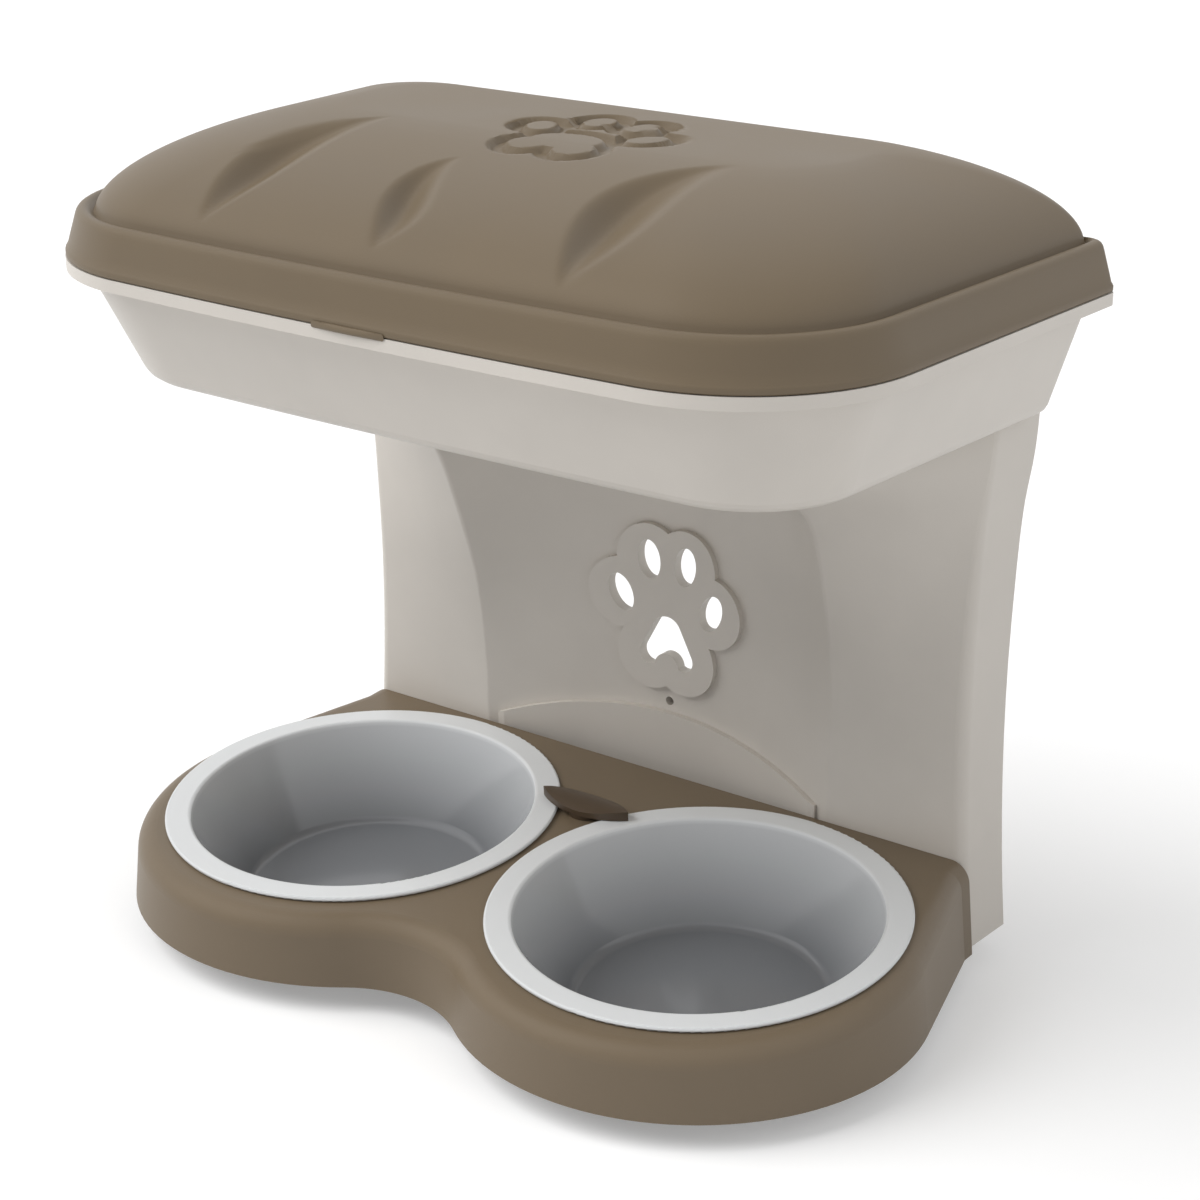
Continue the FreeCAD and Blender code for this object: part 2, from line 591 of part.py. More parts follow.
arch_prism = body_named("arch_prism")
arch_sketch = sketch_on(arch_prism, "arch_sketch", "XZ_Plane", "-stand_rear")
arch_end = "(arch_top - arch_radius + sqrt(arch_radius ^ 2 - arch_half ^ 2))"
outline(arch_sketch, [("-arch_half", "foot_height"), ("arch_half", "foot_height"),
                      ("arch_half", arch_end, "arch_radius", -1), ("-arch_half", arch_end)])
pad(arch_prism, arch_sketch, "stand_depth")

raised = common("raised_signs", moved("stand_forward", stand_outer, y="-relief"),
                fuse("sign_prisms", badge, arch_prism))

ribs = []
for k, x in enumerate(("-rib_outer", "-rib_inner", "rib_inner", "rib_outer")):
    ribs.append(block(f"rib{k}", "rib_thickness", "stand_rear - rib_set_back + 200", "stand_top",
                      f"{x} - rib_thickness / 2", "-200", "0"))
wall_boss = cylinder("wall_boss", "wall_boss_radius", "stand_depth + rear_trim", "0",
                     "stand_rear + rear_trim", "wall_hole_z", (1, 0, 0))
tub_bosses = []
tub_pilots = []
TUB_SCREWS = [("-tub_screw_rear_x", "tub_screw_rear_y"), ("tub_screw_rear_x", "tub_screw_rear_y"),
              ("-tub_screw_front_x", "tub_screw_front_y"), ("tub_screw_front_x", "tub_screw_front_y")]
for k, (x, y) in enumerate(TUB_SCREWS):
    tub_bosses.append(cylinder(f"tub_boss{k}", "boss_radius", "screw_length + 2", x, y,
                               "stand_top - screw_length - 2"))
    tub_pilots.append(cylinder(f"tub_pilot{k}", "screw_radius + shaft_gap", "screw_length + 1", x, y,
                               "stand_top - screw_length"))
tray_holes = []
tray_seats = []
foot_holes = []
column_inside = "(stand_rear - stand_depth + stand_wall)"
for side, sign in (("left", "-"), ("right", "")):
    tray_holes.append(cylinder(f"tray_hole_{side}", "screw_radius + shaft_gap", "stand_depth",
                               f"{sign}tray_screw_x", "stand_rear - 5", "tray_screw_z", (1, 0, 0)))
    tray_seats.append(cylinder(f"tray_seat_{side}", "screw_head + running_gap", "head_height",
                               f"{sign}tray_screw_x", f"{column_inside} + head_height", "tray_screw_z",
                               (1, 0, 0)))
    foot_holes.append(cylinder(f"foot_hole_{side}", "foot_spigot + shaft_gap", "foot_height", f"{sign}foot_x",
                               "foot_y", "foot_height / 2"))
wall_hole = cylinder("wall_hole", "wall_hole_radius", "stand_depth + 10", "0", "stand_rear + 5",
                     "wall_hole_z", (1, 0, 0))
hollow = cut("stand_hollow", stand_core, *ribs, wall_boss, *tub_bosses)
stand_skin = fuse("stand_skin", stand_outer, raised)
back_stand = cut("back_stand", stand_skin, hollow, behind_stand, toe_holes, pad_hole, wall_hole, *tub_pilots,
                 *tray_holes, *tray_seats, *foot_holes)
doc.recompute()


# Food tub: an open moulded box with a wide flange, screwed down on the stand

def plan(half, flare, front, bow, corner, rear, rear_corner):
    """The tub's plan: bowed front, round front corners, sides opening to the rear, small rear corners."""
    cx = f"(({half}) - ({corner}))"
    cy = f"(-({front}) + ({corner}))"
    side_x = f"({cx} + ({corner}) * cos({flare}))"
    side_y = f"({cy} - ({corner}) * sin({flare}))"
    rear_cy = f"(({rear}) - ({rear_corner}))"
    run = f"(({rear_cy} - ({side_y} + ({rear_corner}) * sin({flare}))) / cos({flare}))"
    rear_cx = f"({side_x} - ({rear_corner}) * cos({flare}) + {run} * sin({flare}))"
    end_x = f"({rear_cx} + ({rear_corner}) * cos({flare}))"
    end_y = f"({rear_cy} - ({rear_corner}) * sin({flare}))"
    bow_radius = f"(({cx} ^ 2 + ({bow}) ^ 2) / (2 * ({bow})))"
    return [(f"-{cx}", f"-({front})", bow_radius, -1),
            (cx, f"-({front})", corner, -1), (side_x, side_y), (end_x, end_y, rear_corner, -1),
            (rear_cx, rear), (f"-{rear_cx}", rear, rear_corner, -1), (f"-{end_x}", end_y),
            (f"-{side_x}", side_y, corner, -1)]


def ring(body, name, z, *sizes):
    sketch = sketch_on(body, name, "XY_Plane", z)
    outline(sketch, plan(*sizes))
    return sketch


def tub_form(name, inset):
    """The tub as rings: a rounded foot, then walls that open up to the mouth, all set in by inset."""
    body = body_named(name)
    rings = []
    steps = [(0, "0"), (30, "0"), (60, "0"), (90, "0"), (90, "1")]
    for k, (angle, at_mouth) in enumerate(steps):
        lift = f"((tub_foot_round - {inset}) * (1 - cos({angle})) + {inset})"
        height = f"(stand_top + {lift} + (mouth_height - stand_top - {lift}) * {at_mouth})"
        share = f"(({height} - stand_top) / (mouth_height - stand_top))"
        tuck = f"({inset} + (tub_foot_round - {inset}) * (1 - sin({angle})))"

        def mix(low, high):
            return f"({low} + ({high} - {low}) * {share})"

        half = f"{mix('tub_half', 'mouth_half')} - {tuck}"
        front = f"{mix('tub_front', 'mouth_front')} - {tuck}"
        corner = f"{mix('tub_corner', 'mouth_corner')} - {tuck}"
        rear = f"{mix('tub_rear', 'mouth_rear')} - {tuck}"
        rings.append(ring(body, f"{name}_ring{k}", height, half, mix("tub_flare", "mouth_flare"), front,
                          "mouth_bow", corner, rear, f"tub_rear_corner - {tuck}"))
    loft(body, rings, True)
    return body


tub_outer = tub_form("tub_outer", "0")
tub_core = tub_form("tub_core", "tub_wall")
flange = body_named("tub_flange")
flange_ring = ring(flange, "flange_ring", "mouth_height", "flange_half + flange_proud", "flange_flare",
                   "flange_front + flange_proud", "flange_bow", "flange_corner + flange_proud", "flange_rear",
                   "flange_rear_corner")
pad(flange, flange_ring, "flange_height")
mouth = body_named("tub_mouth")
pad(mouth, ring(mouth, "mouth_ring", "mouth_height - 1", "mouth_half - tub_wall", "mouth_flare",
                "mouth_front - tub_wall", "mouth_bow", "mouth_corner - tub_wall", "mouth_rear - tub_wall",
                "tub_rear_corner - tub_wall"), "flange_height + 2")
hinge_z = "(mouth_height + flange_height)"
tub_knuckles = []
lid_knuckles = []
pin_bores = []
pins = []
for side, sign in (("left", "-"), ("right", "")):
    middle = f"{sign}hinge_x"
    for k, offset in enumerate(("-1.5 * knuckle_length", "0.5 * knuckle_length")):
        x = f"{middle} + {offset}"
        barrel = cylinder(f"tub_barrel_{side}{k}", "knuckle_radius", "knuckle_length", x, "hinge_y", hinge_z,
                          (0, 1, 0))
        arm = block(f"tub_arm_{side}{k}", "knuckle_length", "hinge_y - flange_rear + tub_wall",
                    "knuckle_radius", x, "flange_rear - tub_wall", f"{hinge_z} - knuckle_radius")
        tub_knuckles.extend((barrel, arm))
    x = f"{middle} - 0.5 * knuckle_length + running_gap"
    barrel = cylinder(f"lid_barrel_{side}", "knuckle_radius", "knuckle_length - 2 * running_gap", x,
                      "hinge_y", hinge_z, (0, 1, 0))
    arm = block(f"lid_arm_{side}", "knuckle_length - 2 * running_gap", "hinge_y - lid_rear + lid_wall",
                "knuckle_radius", x, "lid_rear - lid_wall", hinge_z)
    lid_knuckles.extend((barrel, arm))
    pin_bores.append(cylinder(f"pin_bore_{side}", "pin_radius + shaft_gap", "4 * knuckle_length",
                              f"{middle} - 2 * knuckle_length", "hinge_y", hinge_z, (0, 1, 0)))
    pins.append(cylinder(f"pin_{side}", "pin_radius", "3 * knuckle_length",
                         f"{middle} - 1.5 * knuckle_length", "hinge_y", hinge_z, (0, 1, 0)))
tub_notches = []
lid_notches = []
for side, sign in (("left", "-"), ("right", "")):
    middle = f"{sign}hinge_x"
    tub_notches.append(cylinder(f"tub_notch_{side}", "knuckle_radius + running_gap", "knuckle_length",
                                f"{middle} - 0.5 * knuckle_length", "hinge_y", hinge_z, (0, 1, 0)))
    for k, offset in enumerate(("-1.5 * knuckle_length - running_gap", "0.5 * knuckle_length - running_gap")):
        lid_notches.append(cylinder(f"lid_notch_{side}{k}", "knuckle_radius + running_gap",
                                    "knuckle_length + 2 * running_gap", f"{middle} + {offset}", "hinge_y",
                                    hinge_z, (0, 1, 0)))
tub_screw_holes = []
for k, (x, y) in enumerate(TUB_SCREWS):
    tub_screw_holes.append(cylinder(f"tub_screw_hole{k}", "screw_radius + shaft_gap", "tub_wall + 2", x, y,
                                    "stand_top - 1"))
tub_skin = fuse("tub_skin", tub_outer, flange, *tub_knuckles)
food_tub = cut("food_tub", tub_skin, tub_core, mouth, *pin_bores, *tub_notches, *tub_screw_holes)
lid_hinge_pins = group("lid_hinge_pins", *pins)
doc.recompute()

# Lid: a domed moulded cover with a skirt, a crease, claw flutes and a paw relief

lid_foot = "(mouth_height + flange_height + lid_gap)"
crown = f"({lid_foot} + lid_skirt + ledge_rise)"
crease = f"({crown} - ledge_drop)"


def lid_ring(body, name, z, inset, thin):
    return ring(body, name, z, f"flange_half - ({inset})", "flange_flare", f"flange_front - ({inset})",
                "flange_bow", f"flange_corner - ({inset})", f"lid_rear - {thin} - rear_lean * ({inset})",
                f"lid_rear_corner - {thin}")


def dome_ring(body, name, angle, base, height, thin):
    share = f"(1 - cos({angle}) ^ dome_power)"
    inset = f"(lid_draft + ledge_width + {thin})"
    return ring(body, name, f"{base} + ({height}) * sin({angle})",
                f"flange_half - {inset} - (dome_side) * {share}", "flange_flare",
                f"flange_front - {inset} - (dome_front) * {share}", "flange_bow",
                f"flange_corner - {inset} + (dome_corner - flange_corner + {inset}) * {share}",
                f"lid_rear - {thin} - rear_lean * {inset} - (dome_back) * {share}",
                f"lid_rear_corner - {thin} + (dome_rear_corner - lid_rear_corner + {thin}) * {share}")


def lid_form(name, thin, skirt_rings, base, height):
    skirt = body_named(name + "_skirt")
    loft(skirt, [lid_ring(skirt, f"{name}_skirt{k}", z, inset, thin)
                 for k, (inset, z) in enumerate(skirt_rings)], True)
    dome = body_named(name + "_dome")
    loft(dome, [dome_ring(dome, f"{name}_dome{k}", angle, base, height, thin)
                for k, angle in enumerate((0, 12, 25, 38, 52, 68, 82))])
    return fuse(name, skirt, dome)


outer_skirt = [
    ("-lid_bead", lid_foot),
    ("-lid_bead", f"{lid_foot} + bead_height"),
    ("0", f"{lid_foot} + bead_height + lid_bead"),
    ("lid_draft", f"{lid_foot} + lid_skirt"),
    ("lid_draft + 0.2 * ledge_width", f"{crown} - 0.15 * ledge_rise"),
    ("lid_draft + 0.4 * ledge_width", crown),
    ("lid_draft + 0.7 * ledge_width", f"{crown} - 0.35 * ledge_drop"),
    ("lid_draft + ledge_width", crease)]
inner_skirt = [
    ("lid_wall", f"{lid_foot} - 1"),
    ("lid_wall", f"{lid_foot} + bead_height"),
    ("lid_draft + lid_wall", f"{lid_foot} + lid_skirt - 0.5 * lid_wall"),
    ("lid_draft + ledge_width + lid_wall", f"{crease} - lid_wall")]
lid_outer = lid_form("lid_outer", "0", outer_skirt, crease, "dome_height")
lid_core = lid_form("lid_core", "lid_wall", inner_skirt, f"({crease} - lid_wall)", "dome_height")


def flute(name, key, grow):
    """A round-ended claw mark: a cone from the pointed tail to a ball at the wide end."""
    tail = FreeCAD.Vector(*[number(f"flute_{key}_tail_{axis}") for axis in "xyz"])
    end = FreeCAD.Vector(*[number(f"flute_{key}_end_{axis}") for axis in "xyz"])
    down = (tail - end).normalize()
    lift = FreeCAD.Vector(0, -0.5, 1).normalize() * number("flute_end_radius - flute_depth")
    start = end + lift + down * number("flute_end_radius")
    stop = tail + FreeCAD.Vector(0, 0, number("flute_tail_radius - flute_tail_depth"))
    cone = doc.addObject("Part::Cone", name + "_cone")
    bind(cone, "Radius1", f"flute_end_radius + {grow}")
    bind(cone, "Radius2", f"flute_tail_radius + {grow}")
    cone.Height = (stop - start).Length
    cone.Placement = FreeCAD.Placement(start, FreeCAD.Rotation(FreeCAD.Vector(0, 0, 1), stop - start))
    ball = doc.addObject("Part::Sphere", name + "_ball")
    bind(ball, "Radius", f"flute_end_radius + {grow}")
    ball.Placement.Base = start
    return fuse(name, cone, ball)


FLUTES = ("left", "middle", "right")
flutes = [flute(f"flute_{key}", key, "0") for key in FLUTES]
flute_walls = [flute(f"flute_wall_{key}", key, "lid_wall") for key in FLUTES]

LID_TOES = [("lid_toe_side_x", "lid_toe_side_y", "lid_toe_half", "lid_toe_reach", 24),
            ("lid_toe_top_x", "lid_toe_top_y", "lid_toe_half", "lid_toe_reach", 8)]
LID_PAD = ("lid_pad_y", "lid_pad_half", "lid_pad_reach")
LID_HEELS = ("lid_heel_x", "lid_heel_y", "lid_heel_radius")
relief_area = paw("relief_area", LID_TOES, LID_PAD, LID_HEELS, "40", False, crown, "lid_paw_margin")
relief_pads = paw("relief_pads", LID_TOES, LID_PAD, LID_HEELS, "40", False, crown)
relief_cut = cut("relief_cut", cut("relief_ring", relief_area, relief_pads),
                 moved("lid_lowered", lid_outer, z="-lid_relief"))

tab = body_named("finger_tab")
tab_sketch = sketch_on(tab, "tab_sketch", "XY_Plane", f"{lid_foot} - tab_drop")
tab_back = "-(flange_front + flange_proud + flange_bow + running_gap)"
outline(tab_sketch, [("-tab_half", tab_back, "(tab_half ^ 2 + tab_reach ^ 2) / (2 * tab_reach)", -1),
                     ("tab_half", tab_back)])
pad(tab, tab_sketch, "tab_height")
tab_root = sketch_on(tab, "tab_root", "XY_Plane", lid_foot)
root_front = f"({tab_back} - 0.3 * tab_reach)"
root_back = "-(flange_front + flange_bow - 0.5 * lid_wall)"
outline(tab_root, [("-0.8 * tab_half", root_front), ("0.8 * tab_half", root_front),
                   ("0.8 * tab_half", root_back), ("-0.8 * tab_half", root_back)])
pad(tab, tab_root, "tab_height - tab_drop")

lid_hollow = cut("lid_hollow", lid_core, *flute_walls)
lid_skin = fuse("lid_skin", cut("lid_carved", lid_outer, *flutes, relief_cut), tab, *lid_knuckles)
lid = cut("lid", lid_skin, lid_hollow, *pin_bores, *lid_notches)
doc.recompute()

# Bowl tray: a skirted deck on two lobes, with a well for each bowl and rings under the wells

tray_rear = "(stand_rear - stand_depth - running_gap)"
deck_drop = "(bowl_lip + seat_gap)"


def deck_height(y, drop):
    """Height of the tilted deck at a place from front to rear, lowered square to the deck by drop."""
    return f"(rim_height + (({y}) - bowl_y) * tan(deck_tilt) - ({drop}) / cos(deck_tilt))"


def tray_form(name, inset, drop, bottom, shoulder):
    lobe = f"(lobe_radius - {inset})"
    saddle = f"(saddle_radius + {inset})"
    span = "(lobe_radius + saddle_radius)"
    saddle_y = f"(lobe_y - sqrt({span} ^ 2 - lobe_x ^ 2))"
    meet_x = f"(lobe_x - {lobe} * lobe_x / {span})"
    meet_y = f"(lobe_y + {lobe} * ({saddle_y} - lobe_y) / {span})"
    side_x = f"(lobe_x + {lobe} * cos(side_lean))"
    side_y = f"(lobe_y + {lobe} * sin(side_lean))"
    corner_x = f"(tray_corner_x - {inset})"
    corner_y = f"({side_y} + ({side_x} - {corner_x}) / tan(side_lean))"
    rear_y = f"({tray_rear} + 30)"
    body = body_named(name)
    sketch = sketch_on(body, name + "_plan", "XY_Plane", bottom)
    outline(sketch, [(f"-{meet_x}", meet_y, saddle, 1), (meet_x, meet_y, lobe, -1), (side_x, side_y),
                     (corner_x, corner_y), (corner_x, rear_y), (f"-{corner_x}", rear_y),
                     (f"-{corner_x}", corner_y), (f"-{side_x}", side_y, lobe, -1)])
    pad(body, sketch, "rim_height + 20", taper="-skirt_draft")
    above = sketch_on(body, name + "_above", "YZ_Plane")
    outline(above, [("-300", deck_height("-300", drop)), ("300", deck_height("300", drop)), ("300", "300"),
                    ("-300", "300")])
    pocket = body.newObject("PartDesign::Pocket", name + "_deck")
    pocket.Profile = above
    pocket.Type = "ThroughAll"
    pocket.Midplane = True
    doc.recompute()
    tilt = math.radians(number("deck_tilt"))
    up = FreeCAD.Vector(0, -math.sin(tilt), math.cos(tilt))
    top = [f for f in pocket.Shape.Faces if f.normalAt(0, 0).dot(up) > 0.9999][0]
    kept = [e for e in top.Edges if e.BoundBox.YMin < number(rear_y) - 20]
    rounded(body, pocket, shoulder, lambda edge: any(edge.isSame(other) for other in kept))
    return body


tray_outer = tray_form("tray_outer", "0", deck_drop, "foot_height", "shoulder")
tray_core = tray_form("tray_core", "tray_wall", f"({deck_drop} + tray_wall)", "(foot_height - 1)",
                      "(shoulder - tray_wall)")
behind = block("behind_tray", "600", "100", "300", "-300", tray_rear, "-50")
behind_core = block("behind_core", "600", "100", "300", "-300", f"{tray_rear} - tray_wall", "-50")
below = block("below_rings", "600", "400", "50", "-300", "-200", "pad_height - 50")

slope = "((bowl_mouth - bowl_floor) / bowl_depth)"
steep = f"sqrt(1 + {slope} ^ 2)"


def well(name, sign, offset, top):
    """A solid turned about the bowl's axis: the bowl's outer cone grown by offset, then a straight ring."""
    body = body_named(name)
    sketch = sketch_on(body, name + "_profile", "XZ_Plane")
    grown = f"(bowl_mouth + (bowl_wall + {offset}) * {steep})"
    throat = f"(well_throat + {offset})"
    throat_z = f"(-({grown} - {throat}) / {slope})"
    outline(sketch, [("0", top), (f"{grown} + ({top}) * {slope}", top), (throat, throat_z),
                     (throat, "-rim_height - 20"), ("0", "-rim_height - 20")])
    revolve(body, sketch)
    return place(body, f"{sign}bowl_x", "bowl_y", "rim_height", (1, 0, 0), "deck_tilt")


wells = []
throats = []
for side, sign in (("left", "-"), ("right", "")):
    wells.append(well(f"well_{side}", sign, "running_gap + tray_wall", f"-{deck_drop}"))
    throats.append(well(f"throat_{side}", sign, "running_gap", "10"))
tray_bosses = []
tray_pilots = []
for side, sign in (("left", "-"), ("right", "")):
    tray_bosses.append(cylinder(f"tray_boss_{side}", "boss_radius", "screw_length", f"{sign}tray_screw_x",
                                tray_rear, "tray_screw_z", (1, 0, 0)))
    tray_pilots.append(cylinder(f"tray_pilot_{side}", "screw_radius + shaft_gap",
                                "screw_length - stand_wall + 1", f"{sign}tray_screw_x", f"{tray_rear} + 1",
                                "tray_screw_z", (1, 0, 0)))
lock_z = "(rim_height + (lock_y - bowl_y) * tan(deck_tilt))"
spigot_hole = cylinder("spigot_hole", "spigot + shaft_gap", "20", "0", "lock_y + 10 * sin(deck_tilt)",
                       f"{lock_z} - 10 * cos(deck_tilt)", (1, 0, 0), "deck_tilt")
tray_skin = fuse("tray_skin", cut("tray_shell", cut("tray_body", tray_outer, behind),
                                  cut("tray_hollow", tray_core, behind_core)), *wells, *tray_bosses)
bowl_tray = cut("bowl_tray", tray_skin, *throats, *tray_pilots, spigot_hole, below)

rings = []
ring_y = "(bowl_y + (rim_height - pad_height) * tan(deck_tilt))"
for side, sign in (("left", "-"), ("right", "")):
    outer_ring = cylinder(f"ring_outer_{side}", "well_throat + pad_width", "pad_height", f"{sign}bowl_x",
                          ring_y)
    inner_ring = cylinder(f"ring_inner_{side}", "well_throat", "pad_height", f"{sign}bowl_x", ring_y)
    rings.append(cut(f"ring_{side}", outer_ring, inner_ring))
tray_pads = group("tray_pads", *rings)
doc.recompute()

# Bowls: turned dishes with a flat rim that rests on the deck


def bowl(name, sign):
    body = body_named(name)
    sketch = sketch_on(body, name + "_profile", "XZ_Plane")
    under = f"(bowl_mouth + bowl_wall * {steep} - bowl_lip * {slope})"
    foot = f"(bowl_floor + bowl_wall * {steep} - bowl_wall * {slope})"
    outline(sketch, [("0", "-bowl_depth"), ("bowl_floor", "-bowl_depth"), ("bowl_mouth", "0"),
                     ("bowl_rim", "0"), ("bowl_rim", "-bowl_lip"), (under, "-bowl_lip"),
                     (foot, "-bowl_depth - bowl_wall"), ("0", "-bowl_depth - bowl_wall")])
    turned = revolve(body, sketch)

    def circle_at(edge, radius, z):
        curve = edge.Curve
        return (isinstance(curve, Part.Circle) and abs(curve.Radius - number(radius)) < 0.01
                and abs(curve.Center.z - number(z)) < 0.01)

    turned = rounded(body, turned, "bowl_heel", lambda e: circle_at(e, "bowl_floor", "-bowl_depth"))
    turned = rounded(body, turned, "bowl_heel + bowl_wall",
                     lambda e: circle_at(e, foot, "-bowl_depth - bowl_wall"))
    turned = rounded(body, turned, "mouth_round", lambda e: circle_at(e, "bowl_mouth", "0"))
    rounded(body, turned, "lip_round",
            lambda e: circle_at(e, "bowl_rim", "0") or circle_at(e, "bowl_rim", "-bowl_lip"))
    return place(body, f"{sign}bowl_x", "bowl_y", "rim_height", (1, 0, 0), "deck_tilt")


bowl_left = bowl("bowl_left", "-")
bowl_right = bowl("bowl_right", "")

# Bowl lock: a lens-shaped turn button held from below by a washer and a screw

bowl_lock = body_named("bowl_lock")
lens = sketch_on(bowl_lock, "lens", "XY_Plane", "lock_lift")
lens_radius = "((lock_half ^ 2 + lock_width ^ 2) / (2 * lock_width))"
outline(lens, [("-lock_half", "0", lens_radius, -1), ("lock_half", "0", lens_radius, -1)])
pad(bowl_lock, lens, "lock_height")
crest = sketch_on(bowl_lock, "crest", "YZ_Plane")
crest_top = "(lock_lift + lock_height)"
crest_edge = "(lock_lift + lock_edge)"
crest_radius = "((lock_width ^ 2 + (lock_height - lock_edge) ^ 2) / (2 * (lock_height - lock_edge)))"
outline(crest, [("lock_width", crest_edge, crest_radius, -1), ("-lock_width", crest_edge),
                ("-lock_width - 5", crest_edge), ("-lock_width - 5", f"{crest_top} + 5"),
                ("lock_width + 5", f"{crest_top} + 5"), ("lock_width + 5", crest_edge)])
shave = bowl_lock.newObject("PartDesign::Pocket", "shave")
shave.Profile = crest
shave.Type = "ThroughAll"
shave.Midplane = True
doc.recompute()
hub = sketch_on(bowl_lock, "hub", "XY_Plane", "lock_lift")
circle(hub, "0", "0", "lock_hub")
pad(bowl_lock, hub, f"lock_lift + {deck_drop} - seat_gap", True)
neck = sketch_on(bowl_lock, "neck", "XY_Plane", "lock_lift")
circle(neck, "0", "0", "spigot")
pad(bowl_lock, neck, f"lock_lift + {deck_drop} + tray_wall + seat_gap", True)
bore = sketch_on(bowl_lock, "bore", "XY_Plane", f"-({deck_drop} + tray_wall + seat_gap)")
circle(bore, "0", "0", "screw_radius + shaft_gap")
drill = bowl_lock.newObject("PartDesign::Pocket", "drill")
drill.Profile = bore
bind(drill, "Length", "lock_screw_length - washer_thickness")
drill.Reversed = True
doc.recompute()
place(bowl_lock, "0", "lock_y", lock_z, (1, 0, 0), "deck_tilt")

washer_top = f"-({deck_drop} + tray_wall + seat_gap)"
lock_washer = body_named("lock_washer")
washer_sketch = sketch_on(lock_washer, "washer_ring", "XY_Plane", washer_top)
circle(washer_sketch, "0", "0", "washer_radius")
circle(washer_sketch, "0", "0", "screw_radius + shaft_gap")
pad(lock_washer, washer_sketch, "washer_thickness", True)
place(lock_washer, "0", "lock_y", lock_z, (1, 0, 0), "deck_tilt")

lock_screw = body_named("lock_screw")
head_sketch = sketch_on(lock_screw, "lock_head", "XY_Plane", f"{washer_top} - washer_thickness")
circle(head_sketch, "0", "0", "screw_head")
pad(lock_screw, head_sketch, "head_height", True)
shank_sketch = sketch_on(lock_screw, "lock_shank", "XY_Plane", f"{washer_top} - washer_thickness")
circle(shank_sketch, "0", "0", "screw_radius")
pad(lock_screw, shank_sketch, "lock_screw_length - 0.5")
place(lock_screw, "0", "lock_y", lock_z, (1, 0, 0), "deck_tilt")

# Screws and feet

tub_screw_solids = []
for k, (x, y) in enumerate(TUB_SCREWS):
    head = cylinder(f"tub_head{k}", "screw_head", "head_height", x, y, "stand_top + tub_wall")
    shank = cylinder(f"tub_shank{k}", "screw_radius", "screw_length", x, y,
                     "stand_top + tub_wall - screw_length")
    tub_screw_solids.append(fuse(f"tub_screw{k}", head, shank))
tub_screws = group("tub_screws", *tub_screw_solids)

tray_screw_solids = []
stand_feet_solids = []
for side, sign in (("left", "-"), ("right", "")):
    head = cylinder(f"tray_head_{side}", "screw_head", "head_height", f"{sign}tray_screw_x",
                    f"{column_inside} + head_height", "tray_screw_z", (1, 0, 0))
    shank = cylinder(f"tray_shank_{side}", "screw_radius", "screw_length", f"{sign}tray_screw_x",
                     column_inside, "tray_screw_z", (1, 0, 0))
    tray_screw_solids.append(fuse(f"tray_screw_{side}", head, shank))
    foot = cylinder(f"foot_{side}", "foot_radius", "foot_height", f"{sign}foot_x", "foot_y")
    knob = cylinder(f"foot_knob_{side}", "foot_spigot", "foot_height + spigot_height", f"{sign}foot_x",
                    "foot_y")
    stand_feet_solids.append(fuse(f"stand_foot_{side}", foot, knob))
tray_screws = group("tray_screws", *tray_screw_solids)
stand_feet = group("stand_feet", *stand_feet_solids)
doc.recompute()

# Every piece is checked and written to its own file
PIECES = {"back_stand": back_stand, "food_tub": food_tub, "lid": lid, "lid_hinge_pins": lid_hinge_pins,
          "bowl_tray": bowl_tray, "bowl_left": bowl_left, "bowl_right": bowl_right, "bowl_lock": bowl_lock,
          "lock_screw": lock_screw, "lock_washer": lock_washer, "tub_screws": tub_screws,
          "tray_screws": tray_screws, "tray_pads": tray_pads, "stand_feet": stand_feet}
for item in doc.Objects:
    if "Invalid" in item.State or "Error" in item.State:
        raise RuntimeError("%s does not build" % item.Label)
os.makedirs("parts", exist_ok=True)
for label, item in PIECES.items():
    item.Label = label
    shape = item.Shape
    if shape.isNull() or not shape.isValid():
        raise RuntimeError("%s has no valid shape" % label)
    shape.exportStep("parts/%s.step" % label)
    box = shape.BoundBox
    print("%-16s solids %d faces %3d volume %9.0f box %.1f %.1f %.1f / %.1f %.1f %.1f" % (
        label, len(shape.Solids), len(shape.Faces), shape.Volume, box.XMin, box.YMin, box.ZMin,
        box.XMax, box.YMax, box.ZMax))
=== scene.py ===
import bmesh
import bpy
import math
import numpy as np
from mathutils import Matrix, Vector


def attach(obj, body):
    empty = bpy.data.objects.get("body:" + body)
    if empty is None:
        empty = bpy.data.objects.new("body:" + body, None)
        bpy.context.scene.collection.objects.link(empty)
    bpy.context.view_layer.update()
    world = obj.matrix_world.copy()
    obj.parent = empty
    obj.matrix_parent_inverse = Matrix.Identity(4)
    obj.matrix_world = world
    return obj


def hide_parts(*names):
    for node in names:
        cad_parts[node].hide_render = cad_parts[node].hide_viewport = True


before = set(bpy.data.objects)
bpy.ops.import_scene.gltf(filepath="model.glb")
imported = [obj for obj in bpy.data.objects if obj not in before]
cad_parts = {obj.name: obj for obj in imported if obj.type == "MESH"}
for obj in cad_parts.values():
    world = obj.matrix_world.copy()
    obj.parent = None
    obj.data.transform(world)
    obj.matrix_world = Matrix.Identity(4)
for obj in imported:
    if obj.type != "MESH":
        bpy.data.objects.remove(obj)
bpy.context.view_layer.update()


# Back stand
# One large injection moulding in warm pale grey polypropylene, ribbed and open at the rear.
# It carries the tub on its leaning niche edges and is screwed to the tray in front.
PLASTIC_IOR = 1.49
CLOUD_SCALE = 14.0
CLOUD_TINT = 0.035
GLOSS_SWING = 0.05
GRAIN_SCALE = 1500.0
GRAIN_HEIGHT = 0.0002


def shown_colour(red, green, blue):
    """A shader colour from the 0 to 255 values that a screen shows."""
    linear = []
    for value in (red, green, blue):
        share = value / 255
        linear.append(share / 12.92 if share < 0.04045 else ((share + 0.055) / 1.055) ** 2.4)
    return (*linear, 1.0)


